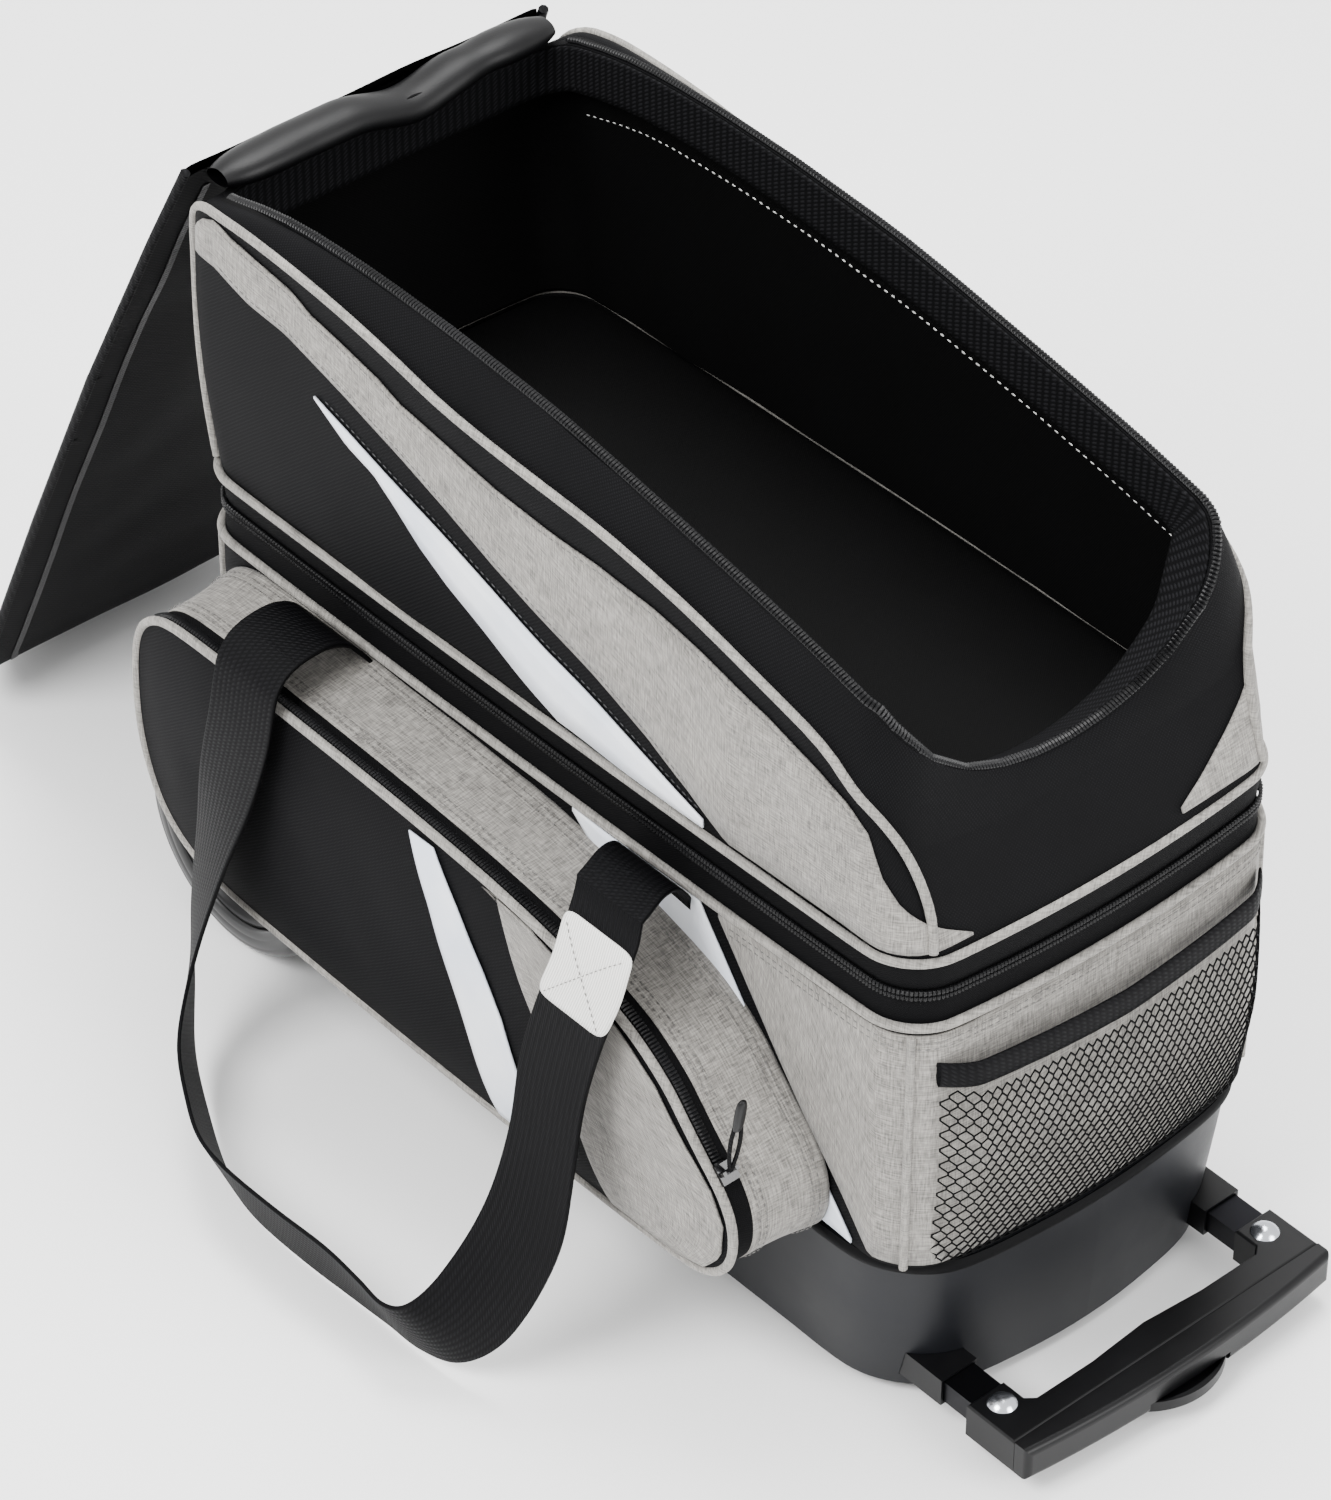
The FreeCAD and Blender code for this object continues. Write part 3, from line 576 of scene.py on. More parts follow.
def resample(points, spacing_mm, closed=False):
    """Evenly spaced points along a line of points."""
    line = list(points) + ([points[0]] if closed else [])
    lengths = [0.0]
    for a, b in zip(line, line[1:]):
        lengths.append(lengths[-1] + (b - a).length)
    count = max(2, round(lengths[-1] * 1000 / spacing_mm))
    result, k = [], 0
    for n in range(count if closed else count + 1):
        target = lengths[-1] * n / count
        while k < len(lengths) - 2 and lengths[k + 1] < target:
            k += 1
        span = lengths[k + 1] - lengths[k]
        t = (target - lengths[k]) / span if span else 0
        result.append(line[k].lerp(line[k + 1], t))
    return result


def ups_on(tree, points):
    """The skin's outward direction under each point."""
    return [tree.find_nearest(p)[1].normalized() for p in points]


def frames_along(points, ups, closed):
    """(along, sideways, up) at each point of a line."""
    frames = []
    count = len(points)
    for k in range(count):
        a = points[k - 1] if k or closed else points[0]
        b = points[(k + 1) % count] if k < count - 1 or closed else points[-1]
        along = (b - a).normalized()
        side = along.cross(ups[k]).normalized()
        frames.append((along, side, side.cross(along).normalized()))
    return frames


def zip_teeth(name, points, ups, closed=False, pitch_mm=2.1, half_mm=2.9, height_mm=1.7):
    """Nylon coil: a low arch for each turn of the coil."""
    line = resample(points, pitch_mm, closed)
    up_line = resample([p + u * 0.05 for p, u in zip(points, ups)], pitch_mm, closed)
    if len(up_line) != len(line):
        step = (len(up_line) - 1) / max(1, len(line) - 1)
        up_line = [up_line[min(len(up_line) - 1, round(k * step))] for k in range(len(line))]
    local_ups = [(q - p).normalized() for p, q in zip(line, up_line)]
    bm = bmesh.new()
    profile = ((-1, 0), (-0.86, 0.7), (-0.3, 1), (0.3, 1), (0.86, 0.7), (1, 0))
    for (along, side, up), p in zip(frames_along(line, local_ups, closed), line):
        rings = []
        for shift, share in ((-0.42, 0.6), (0, 1.0), (0.42, 0.6)):
            centre = p + along * pitch_mm / 1000 * shift
            rings.append([bm.verts.new(centre + side * a * half_mm / 1000 + up * b * share * height_mm / 1000)
                          for a, b in profile])
        for lower, upper in zip(rings, rings[1:]):
            for k in range(len(profile) - 1):
                bm.faces.new((lower[k], lower[k + 1], upper[k + 1], upper[k]))
        bm.faces.new(rings[0][::-1])
        bm.faces.new(rings[-1])
        bm.faces.new((rings[0][0], rings[1][0], rings[2][0], rings[2][-1], rings[1][-1], rings[0][-1]))
    bmesh.ops.recalc_face_normals(bm, faces=bm.faces)
    mesh = bpy.data.meshes.new(name)
    bm.to_mesh(mesh)
    bm.free()
    return link(name, mesh)


def stitches(name, points, ups, length_mm=3.2, gap_mm=1.3, radius_mm=0.32, closed=False):
    """A row of sewn stitches: each a short raised bar of thread."""
    line = resample(points, length_mm + gap_mm, closed)
    bm = bmesh.new()
    count = len(line)
    for k in range(count if closed else count - 1):
        a, b = line[k], line[(k + 1) % count]
        along = (b - a).normalized()
        up = ups[min(len(ups) - 1, int(k * len(ups) / count))]
        side = along.cross(up).normalized()
        a, b = a.lerp(b, 0.12), a.lerp(b, 0.12 + 0.88 * length_mm / (length_mm + gap_mm))
        r = radius_mm / 1000
        rings = []
        for t, share in ((0, 0.35), (0.25, 1), (0.75, 1), (1, 0.35)):
            c = a.lerp(b, t)
            rings.append([bm.verts.new(c + side * r * share * u + up * r * share * v)
                          for u, v in ((-1, -0.6), (1, -0.6), (0.7, 0.7), (-0.7, 0.7))])
        for lower, upper in zip(rings, rings[1:]):
            for n in range(4):
                bm.faces.new((lower[n], lower[(n + 1) % 4], upper[(n + 1) % 4], upper[n]))
        bm.faces.new(rings[0][::-1])
        bm.faces.new(rings[-1])
    bmesh.ops.recalc_face_normals(bm, faces=bm.faces)
    mesh = bpy.data.meshes.new(name)
    bm.to_mesh(mesh)
    bm.free()
    return link(name, mesh)


# ---------------------------------------------------------------- the bag's outlines
def plan(rear, front, half, radius, bow_rear=0, bow_front=0, bow_side=0, corner_steps=6, side_steps=22):
    """Rounded rectangle with bowed sides, from the front's middle round through +Y."""
    points = [(front, (half - radius) * k / 4) for k in range(4)]
    for k in range(corner_steps + 1):
        a = math.radians(90 * k / corner_steps)
        points.append((front - radius + radius * math.cos(a), half - radius + radius * math.sin(a)))
    for k in range(1, side_steps):
        points.append((front - radius + (rear - front + 2 * radius) * k / side_steps, half))
    for k in range(corner_steps + 1):
        a = math.radians(90 + 90 * k / corner_steps)
        points.append((rear + radius + radius * math.cos(a), half - radius + radius * math.sin(a)))
    points += [(rear, (half - radius) * k / 4) for k in (3, 2, 1, 0)]
    points += [(x, -y) for x, y in reversed(points[1:-1])]
    bowed = []
    for x, y in points:
        end = 1 - (y / half) ** 2
        side = 1 - (x / front if x > 0 else x / rear) ** 2
        dx = bow_front * end if x > front - radius - 1 else -bow_rear * end if x < rear + radius + 1 else 0
        dy = math.copysign(bow_side * max(side, 0), y) if abs(y) > half - radius - 1 else 0
        bowed.append((x + dx, y + dy))
    return bowed


def moved_out(points, distance):
    """Closed outline, each point moved along its outward normal."""
    area = sum(a[0] * b[1] - b[0] * a[1] for a, b in zip(points, points[1:] + points[:1]))
    sign = 1 if area > 0 else -1
    result = []
    for k, (x, y) in enumerate(points):
        x0, y0 = points[k - 1]
        x1, y1 = points[(k + 1) % len(points)]
        length = math.hypot(x1 - x0, y1 - y0) or 1
        result.append((x + sign * distance * (y1 - y0) / length, y - sign * distance * (x1 - x0) / length))
    return result


# heights by distance along the bag, or across it at the mouth's handle end
SEAM_Z = [(-290, 440), (-282, 462), (-270, 478), (-256, 484), (-240, 487), (-222, 487), (-181, 485),
          (-141, 480), (-100, 473), (-62, 465), (0, 460), (53, 457), (90, 451), (126, 444), (180, 431),
          (219, 419), (241, 403), (254, 384), (263, 362), (272, 350)]
MOUTH_Z = [(-277, 476), (-258, 483), (-239, 488), (-215, 493), (-193, 495.5), (-155, 497), (-130, 497),
           (-76, 495), (0, 489), (40, 483), (79, 476), (112, 470), (150, 463), (183, 456), (221, 447),
           (243, 438), (254, 431)]
MOUTH_END_Z = [(0, 375), (28, 377), (56, 384), (77, 395), (92, 409), (104, 424), (113, 436), (120, 470)]
# rings of the lower body: height, rear, front, half width, and how far its three faces bow
LOWER = [(109, -279, 279, 127.5, 6, 14, 2), (180, -281, 281, 129, 7, 14, 4), (269, -279, 279, 128.5, 4, 10, 3)]


def mouth_height(x, y):
    """The mouth's edge dips in the middle of the handle end."""
    side = interpolate(MOUTH_Z, x)
    return min(side, interpolate(MOUTH_END_Z, abs(y))) if x > 222 else side


BELT_PLAN = plan(-279, 277, 128.5, CORNER, 4, 9, 3)
MIDDLE_PLAN = plan(-288, 269, 130, CORNER, 3, 7, 3)
SEAM_PLAN = plan(-286, 259, 130, CORNER, 2, 5, 2)
MOUTH_PLAN = plan(-277, 250, 118, CORNER, 0, 4, 0)


def crumple(x, y, z, size_mm, depth_mm):
    """Soft unevenness of stuffed fabric: how far a point stands proud."""
    return depth_mm * noise.fractal(V((x, y, z)) / size_mm, 0.6, 2.1, 3)


def skin_rows(rows, out=0.0, wrinkle=0.0, size=70):
    """Rows of (x, y, z) in millimetres, moved outwards and crumpled, as points in metres."""
    made = []
    for row in rows:
        flat = moved_out([(x, y) for x, y, z in row], 1.0)
        line = []
        for (x, y, z), (ox, oy) in zip(row, flat):
            push = out + crumple(x, y, z, size, wrinkle)
            line.append(place(x + (ox - x) * push, y + (oy - y) * push, z))
        made.append(line)
    return made


def upper_row(t, drop=0.0):
    """One ring of the upper section: t from 0 at the belt to 1 at the side seam and 2 at the mouth."""
    row = []
    for b, m, s, r in zip(BELT_PLAN, MIDDLE_PLAN, SEAM_PLAN, MOUTH_PLAN):
        top = interpolate(SEAM_Z, s[0])
        if t <= 1:
            q = 2 * t
            x = b[0] * (1 - q) * (2 - q) / 2 + m[0] * q * (2 - q) - s[0] * q * (1 - q) / 2
            y = b[1] * (1 - q) * (2 - q) / 2 + m[1] * q * (2 - q) - s[1] * q * (1 - q) / 2
            z = mix(BELT_HIGH, top, t)
        else:
            q = t - 1
            x, y = mix(s[0], r[0], q), mix(s[1], r[1], q)
            z = mix(top, mouth_height(*r), q) + 3.0 * math.sin(math.pi * q)
        row.append((x, y, z - drop))
    return row


def lower_row(z):
    """One ring of the lower body at height z."""
    values = [interpolate([(level[0], level[k]) for level in LOWER], z) for k in range(1, 7)]
    return [(x, y, z) for x, y in plan(values[0], values[1], values[2], CORNER, *values[3:])]


# ---------------------------------------------------------------- fabric shells
upper_levels = (0, 0.06, 0.2, 0.35, 0.5, 0.65, 0.8, 0.92, 0.985, 1.0, 1.04, 1.3, 1.65, 1.94, 2.0)
upper_skin = grid_mesh("upper_shell", skin_rows([upper_row(t) for t in upper_levels], 0, 1.6), True)
subdivide(upper_skin, 2)
finish_piece(upper_skin, "upper_section", "black_twill", ["upper_body"], BLACK_TWILL)
upper_tree = surface_tree(upper_skin)
thicken(upper_skin, 0.002, -1)

LINING_FOOT = 316.5
lining_levels = (0.02, 0.25, 0.5, 0.75, 1.0, 1.3, 1.7, 1.97)
lining_rows = [upper_row(t) for t in lining_levels]
lining_rows[0] = [(x, y, LINING_FOOT) for x, y, z in lining_rows[0]]
upper_lining = grid_mesh("upper_lining", skin_rows(lining_rows, -WALL, 1.4, 55), True)
subdivide(upper_lining, 1)
finish_piece(upper_lining, "upper_section", "black_lining", [], LINING)
lining_tree = surface_tree(upper_lining)


def facing_row(drop):
    """The stiff mesh band under the zip: upright along the sides, leaning in at the handle end."""
    row = []
    for x, y, z in upper_row(2.0, drop):
        lean = min(1.0, max(0.0, (x - 205) / 40)) * drop * 0.85
        row.append((x - lean, y * (1 - lean / 400), z + 0.35 * lean))
    return row


facing_rows = skin_rows([facing_row(d) for d in (28, 20, 12, 4, -0.2)], -WALL - 0.9, 0.4)
rim_facing = grid_mesh("rim_facing_band", facing_rows, True)
subdivide(rim_facing, 1)
thicken(rim_facing, 0.0014, 0)
finish_piece(rim_facing, "upper_section", "black_mesh", ["rim_facing"], FACING)

edge_rows = skin_rows([upper_row(2.0, -d) for d in (-1.5, 0.3, 1.0)], 0.2)
edge_rows += skin_rows([upper_row(2.0, -d) for d in (1.2, 1.0, -1.5)], -WALL - 0.5)
rim_edge = grid_mesh("rim_edge_tape", edge_rows, True)
subdivide(rim_edge, 1)
finish_piece(rim_edge, "upper_section", "black_webbing", [], TAPE)

board_outline = [V(((x * 0.968 + SHIFT) / 1000, y * 0.945 / 1000, 0)) for x, y in BELT_PLAN]
board_rows = []
for share, height in ((0.0, 319.2), (0.35, 319.2), (0.7, 319.4), (0.93, 319.0), (0.985, 318.2), (1.0, 316.8),
                      (0.99, 314.6), (0.9, 314.2), (0.4, 314.2)):
    centre = V((SHIFT / 1000, 0, 0))
    board_rows.append([centre.lerp(p, max(share, 0.02)) + V((0, 0, height / 1000)) for p in board_outline])
shoe_board = flat_uv(grid_mesh("shoe_floor_board", board_rows, True), 0, 1)
subdivide(shoe_board, 1)
finish_piece(shoe_board, "upper_section", "black_lining", ["shoe_floor"], LINING)

low_levels = (109.2, 118, 140, 165, 190, 215, 240, 258, 268.6)

WELL_X, WELL_Y, WELL_Z = -161.4, 107.4, 156.6


def outside_wells(obj):
    """Cut the wheel wells out of a lower shell's faces."""
    bm = bmesh.new()
    bm.from_mesh(obj.data)
    for side in (-1, 1):
        for point, normal in (((WELL_X, 0, 0), (1, 0, 0)), ((0, side * WELL_Y, 0), (0, side, 0)),
                              ((0, 0, WELL_Z), (0, 0, 1))):
            geometry = list(bm.verts) + list(bm.edges) + list(bm.faces)
            cut_at = place(*point) if normal[0] else V(point) / 1000
            bmesh.ops.bisect_plane(bm, geom=geometry, plane_co=cut_at, plane_no=normal, dist=1e-6)
    middles = [(f, f.calc_center_median()) for f in bm.faces]
    gone = [f for f, at in middles if at.x < place(WELL_X, 0, 0).x
            and abs(at.y) > WELL_Y / 1000 and at.z < WELL_Z / 1000]
    bmesh.ops.delete(bm, geom=gone, context="FACES")
    bm.to_mesh(obj.data)
    bm.free()


lower_skin = grid_mesh("lower_shell", skin_rows([lower_row(z) for z in low_levels], 0, 1.5), True)
subdivide(lower_skin, 1)
apply_stack(lower_skin)
lower_tree = surface_tree(lower_skin)
outside_wells(lower_skin)
thicken(lower_skin, 0.002, -1)
finish_piece(lower_skin, "base", "black_twill", ["lower_body"], BLACK_TWILL)
lower_lining = grid_mesh("lower_lining", skin_rows([lower_row(z) for z in low_levels], -WALL, 1.0), True)
subdivide(lower_lining, 1)
apply_stack(lower_lining)
outside_wells(lower_lining)
finish_piece(lower_lining, "base", "black_lining", [], LINING)


# ---------------------------------------------------------------- sewn panels, piping and zips
def wrap(d, side, front=275.0, half=130.0, radius=27.0):
    """Distance along the side, carried on round the handle end's corner and along the end."""
    straight = front - radius
    if d <= straight:
        return d, side * half
    arc = radius * math.pi / 2
    if d <= straight + arc:
        a = (d - straight) / radius
        return straight + radius * math.sin(a), side * (half - radius + radius * math.cos(a))
    return front, side * (half - radius - (d - straight - arc))


def sewn_panel(name, tree, lower, upper, start, stop, steps, rise, out_mm, side, body, slot, material,
               replaces=()):
    """A flat panel sewn on a shell, between a lower and an upper edge given by distance along."""
    rows = []
    for r in range(rise + 1):
        row = []
        for k in range(steps + 1):
            d = mix(start, stop, k / steps)
            z = mix(interpolate(lower, d), interpolate(upper, d), r / rise)
            x, y = wrap(d, side)
            row.append(on_skin(tree, place(x, y, z), out_mm))
        rows.append(row)
    panel = grid_mesh(name, rows)
    thicken(panel, 0.0011, 0)
    return finish_piece(panel, body, slot, replaces, material)


# edges of the sewn panels, as heights by distance along the side and on round the corner
BAND_TOP = [(-272, 464), (-262, 476), (-250, 481), (-236, 477), (-186, 471), (-170, 464), (-116, 453),
            (-99, 447), (-59, 443), (-20, 437), (18, 435), (56, 434), (93, 431), (130, 425), (180, 414),
            (215, 402), (236, 393), (248, 381), (256, 360), (268, 343), (280, 333), (292, 325), (306, 317)]
BAND_LOW = [(-272, 452), (-262, 452), (-250, 452), (-221, 444), (-192, 441), (-140, 428), (-100, 416),
            (-61, 403), (-22, 388), (17, 376), (55, 363), (93, 349), (122, 334), (150, 316.5), (345, 316)]
FAR_TOP = [(-272, 464), (-250, 481), (-186, 471), (-116, 453), (-59, 443), (0, 434), (56, 430), (130, 421),
           (180, 412), (219, 400), (240, 388), (258, 376), (275, 366), (300, 346), (325, 329), (345, 318)]
BLADE_TOP = [(-169, 415.5), (-141, 408), (-101, 396), (-61, 384), (-22, 371), (17, 358), (55, 347),
             (93, 335), (134, 321)]
BLADE_LOW = [(-169, 414.5), (-141, 399), (-119, 393), (-102, 382), (-83, 367), (-62, 354), (-23, 336),
             (23, 316.5), (134, 316)]
for side, word, top in ((-1, "near", BAND_TOP), (1, "far", FAR_TOP)):
    band_end = 305 if side < 0 else 343
    sewn_panel("upper_band_" + word, upper_tree, BAND_LOW, top, -270, band_end, 120, 5, 0.9, side,
               "upper_section", "grey_melange", HEATHER, ["upper_bands"] if side < 0 else [])
    sewn_panel("upper_blade_" + word, upper_tree, BLADE_LOW, BLADE_TOP, -168, 133, 60, 3, 1.2, side,
               "upper_section", "white_vinyl", VINYL, ["upper_blades"] if side < 0 else [])

LOW_BLADE_TOP = [(32, 266.5), (130, 266.5), (136, 258), (170, 212), (210, 158), (245, 112)]
LOW_BLADE_LOW = [(32, 265), (60, 244), (100, 209), (150, 166), (205, 119), (215, 112), (245, 111)]
GREY_END_TOP = [(143, 266.6), (600, 266.6)]
GREY_END_LOW = [(143, 266), (165, 236), (200, 190), (235, 142), (257, 112), (600, 112)]
for side, word in ((-1, "near"), (1, "far")):
    sewn_panel("lower_blade_" + word, lower_tree, LOW_BLADE_LOW, LOW_BLADE_TOP, 33, 244, 50, 4, 1.0, side,
               "base", "white_vinyl", VINYL, ["lower_blades"] if side < 0 else [])
    panel_end = 394 - 2 * side
    sewn_panel("lower_end_panel_" + word, lower_tree, GREY_END_LOW, GREY_END_TOP, 144, panel_end, 70, 9, 0.8,
               side, "base", "grey_melange", HEATHER)
BELT_BEAD = 2.5


def closed_bead(name, row, out, radius, body, slot, replaces, material=PIPING):
    points = [place(x, y, z) for (x, y), (_, _, z) in zip(moved_out([(x, y) for x, y, z in row], out), row)]
    return finish_piece(bead(name, points, radius, True, 6), body, slot, replaces, material)


closed_bead("lower_belt_piping", [(x, y, BELT_LOW + 2) for x, y, z in lower_row(BELT_LOW)], 1.2, BELT_BEAD,
            "base", "grey_piping", ["lower_piping"])
closed_bead("upper_belt_piping_cord", [(x, y, 311.2) for x, y in BELT_PLAN], 1.2, BELT_BEAD,
            "upper_section", "grey_piping", ["upper_belt_piping"])


def belt_strip(name, heights, outs, body, replaces):
    """Zip tape round the belt: rings at rising heights, each a little way in."""
    rows = []
    for z, out in zip(heights, outs):
        line = moved_out([(x, y) for x, y, _ in lower_row(BELT_LOW)], out)
        rows.append([place(x, y, z + crumple(x, y, z, 90, 0.5)) for x, y in line])
    strip = grid_mesh(name, rows, True)
    subdivide(strip, 1)
    thicken(strip, 0.0012, -1)
    return finish_piece(strip, body, "black_webbing", replaces, TAPE)


belt_strip("lower_belt_tape", (270.5, 274, 282, 288.2), (-0.6, -1.0, -1.3, -2.2),
           "base", ["lower_tape"])
belt_strip("upper_belt_tape", (292.6, 298, 306, 311.5), (-2.2, -1.3, -1.0, -0.6),
           "upper_section", ["upper_tape"])


def belt_coil(name, z, body, replaces, up_z):
    """Half of the belt zip, open along the far side where the strip hinges."""
    line = moved_out([(x, y) for x, y, _ in lower_row(BELT_LOW)], -1.2)
    count = len(line)
    points = [place(x, y, z) for x, y in line]
    first = next(k for k in range(count) if line[k][1] > 120 and line[k][0] < 250)
    last = max(k for k in range(count) if line[k][1] > 120 and line[k][0] > -250)
    open_line = points[last:] + points[:first + 1]
    flat = line[last:] + line[:first + 1]
    further = moved_out(line, 5)
    further = further[last:] + further[:first + 1]
    ups = [V((b[0] - a[0], b[1] - a[1], 0)).normalized() for a, b in zip(flat, further)]
    ups = [(u + V((0, 0, up_z))).normalized() for u in ups]
    teeth = zip_teeth(name, open_line, ups, False, 2.2, 1.5, 1.9)
    return finish_piece(teeth, body, "zip_nylon", replaces, COIL, False)


belt_coil("lower_belt_coil", 288.7, "base", ["lower_coil"], -0.15)
belt_coil("upper_belt_coil", 292.0, "upper_section", ["upper_coil"], 0.15)

# the mouth's coil runs round three sides, and stops at the lid's root
mouth_points = [place(x, y, z + 1.2) for (x, y), (_, _, z) in
                zip(moved_out(MOUTH_PLAN, -2.4), upper_row(2.0))]
at_root = [k for k in range(len(mouth_points)) if MOUTH_PLAN[k][0] < -255]
mouth_line = mouth_points[at_root[-1]:] + mouth_points[:at_root[0] + 1]
mouth_ups = []
for p in mouth_line:
    centre = V((min(max(p.x, place(-200, 0, 0).x), place(190, 0, 0).x), 0, p.z))
    mouth_ups.append(((p - centre).normalized() * 0.35 + V((0, 0, 1))).normalized())
mouth_coil = zip_teeth("mouth_coil", mouth_line, mouth_ups, False, 2.2, 2.6, 2.2)
finish_piece(mouth_coil, "upper_section", "zip_nylon", ["rim_coil"], COIL, False)

# piping along the side seams and up the corners
SEAM_PATH = [(285.0, 315.5), (283.5, 330), (277, 352), (268, 372), (255, 390), (242, 402), (219, 419),
             (180, 431), (126, 444), (90, 451), (53, 457), (0, 460), (-62, 465), (-100, 473), (-141, 480),
             (-181, 485), (-222, 487), (-242, 486.5), (-256, 482), (-268, 473), (-277, 459), (-283, 438),
             (-284, 410), (-280, 380), (-275, 350), (-270, 325), (-269, 315.5)]
for side, word in ((-1, "near"), (1, "far")):
    line = []
    for d, z in SEAM_PATH:
        if d > 240:
            x, y = wrap(d - 4, side, 266 + (350 - z) * 0.18)
        elif d < -250:
            bend = min(1.0, (-250 - d) / 30)
            x, y = d - 4, side * (130 - 9 * bend)
        else:
            x, y = d, side * 132
        line.append(on_skin(upper_tree, place(x, y, z), 1.7))
    seam = bead("upper_seam_piping_" + word, line, 2.5)
    finish_piece(seam, "upper_section", "grey_piping", ["upper_side_piping"] if side < 0 else [], PIPING)

# corner pipings: end of the bag, its x and the height that each starts from
for end, x, low in (("wheel", -275, 160), ("handle", 274, 110)):
    for side, word in ((-1, "near"), (1, "far")):
        line = [on_skin(lower_tree, place(x, side * 121.5, mix(low, 266.5, k / 8)), 1.5) for k in range(9)]
        post = bead("corner_piping_%s_%s" % (end, word), line, 2.3)
        gone = ["corner_piping"] if (end, side) == ("handle", -1) else []
        finish_piece(post, "base", "grey_piping", gone, PIPING)


# ---------------------------------------------------------------- smooth lines and webbing
def curve_through(points, steps=6, closed=False):
    """Catmull-Rom points through a list of vectors."""
    n = len(points)
    result = []
    for k in range(n if closed else n - 1):
        p0 = points[k - 1] if k or closed else points[0]
        p1, p2 = points[k], points[(k + 1) % n]
        p3 = points[(k + 2) % n] if k + 2 < n or closed else points[-1]
        for s in range(steps):
            t = s / steps
            result.append(0.5 * (2 * p1 + (p2 - p0) * t + (2 * p0 - 5 * p1 + 4 * p2 - p3) * t * t
                                 + (3 * p1 - p0 - 3 * p2 + p3) * t * t * t))
    if not closed:
        result.append(points[-1].copy())
    return result


def ribbon(name, stations, width_mm=49.0, steps=6, thickness=0.0021):
    """Webbing along stations of (place, width direction), both in shell millimetres."""
    centres = curve_through([place(*p) for p, w in stations], steps)
    widths = curve_through([V(w).normalized() for p, w in stations], steps)
    rows = []
    for c, w in zip(centres, widths):
        w = w.normalized()
        rows.append([c + w * (s * width_mm / 2000) for s in (-1, -0.96, -0.5, 0, 0.5, 0.96, 1)])
    band = grid_mesh(name, rows)
    subdivide(band, 1)
    modifier(band, "SOLIDIFY", thickness=thickness, offset=0)
    return apply_stack(band)


X_WAY, AWAY = (1, 0, 0), (0, -1, 0)
for x, lean, word in ((-153, 0, "wheel"), (100, 19, "handle")):
    stations = [((x, -131.2, 252), X_WAY), ((x, -133, 263), X_WAY), ((x + 0.15 * lean, -139, 273), X_WAY),
                ((x + 0.35 * lean, -148, 283), X_WAY), ((x + 0.6 * lean, -160, 288.5), X_WAY),
                ((x + 0.85 * lean, -172, 289), X_WAY), ((x + lean, -182, 287.3), X_WAY)]
    root = ribbon("strap_near_root_" + word, stations)
    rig.blend(root, "base", "strap_near_top", V((0, -0.133, 0.262)), V((0, -0.146, 0.283)))
    finish_piece(root, None, "black_webbing", ["strap_near_root"] if x < 0 else [], WEBBING)

loop = [((-153, -181, 287.5), X_WAY), ((-153, -190, 283), X_WAY), ((-151, -199, 273), X_WAY),
        ((-150, -206, 246), X_WAY), ((-159, -210, 205), (1, -0.1, 0)),
        ((-172, -213, 155), (0.93, -0.35, 0.1)), ((-181, -220, 100), (0.8, -0.5, 0.25)),
        ((-177, -231, 58), (0.66, -0.61, 0.44)), ((-160, -247, 36), (0.5, -0.55, 0.68)),
        ((-127, -265, 27), (0.3, -0.5, 0.85)), ((-94, -280, 25), (0.1, -0.42, 0.9)),
        ((-62, -287, 26), (0, -0.36, 0.93)), ((-20, -288, 27), (0, -0.34, 0.94)),
        ((20, -286, 27), (0, -0.34, 0.94)), ((50, -286, 27), (0, -0.4, 0.92)),
        ((74, -287, 28), (-0.1, -0.45, 0.9)), ((94, -283, 34), (-0.4, -0.45, 0.8)),
        ((108, -272, 50), (-0.75, -0.45, 0.45)), ((119, -258, 80), (-0.93, -0.3, 0.2)),
        ((126, -245, 115), (-1, -0.15, 0.1)), ((124, -232, 152), (-1, 0, 0)),
        ((119, -220, 190), (-1, 0, 0)), ((122, -211, 225), (-1, 0, 0)),
        ((129, -205, 254), (-1, 0, -0.05)), ((130, -199.5, 273), (-1, 0, -0.05)),
        ((126, -190, 283), (-1, 0, 0)), ((119, -181, 287.5), (-1, 0, 0))]
near_loop = ribbon("strap_near_loop", loop)
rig.blend(near_loop, "strap_near_top", "strap_near_loop", V((0, -0.176, 0.288)), V((0, -0.195, 0.279)))
finish_piece(near_loop, None, "black_webbing", ["strap_near"], WEBBING)

far_loop = [((-145, 133.5, 258), X_WAY), ((-145, 137, 254), X_WAY), ((-145, 138.5, 235), X_WAY),
            ((-145, 139.5, 180), X_WAY), ((-145, 140.5, 110), X_WAY), ((-144.5, 145, 58), X_WAY),
            ((-143, 162, 25), X_WAY), ((-140, 186, 10), X_WAY), ((-131, 221, 5.5), (0.9, -0.4, 0)),
            ((-110, 250, 5), (0.6, -0.8, 0.1)), ((-75, 262, 6), (0.1, -1, 0.15)),
            ((-22, 264, 5), (0, -1, 0.1)), ((32, 262, 5), (-0.1, -1, 0.1)),
            ((68, 249, 5), (-0.6, -0.8, 0.05)), ((88, 220, 5), (-0.9, -0.4, 0)),
            ((97, 186, 9), (-1, 0, 0)), ((99, 162, 25), (-1, 0, 0)), ((100, 145, 58), (-1, 0, 0)),
            ((100, 140.5, 110), (-1, 0, 0)), ((100, 139.5, 180), (-1, 0, 0)),
            ((100, 138.5, 235), (-1, 0, 0)), ((100, 137, 254), (-1, 0, 0)),
            ((100, 133.5, 258), (-1, 0, 0))]
far_band = ribbon("strap_far_loop_band", far_loop)
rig.blend(far_band, "base", "strap_far_loop", V((0, 0.133, 0.262)), V((0, 0.139, 0.248)))
finish_piece(far_band, None, "black_webbing", ["strap_far"], WEBBING)

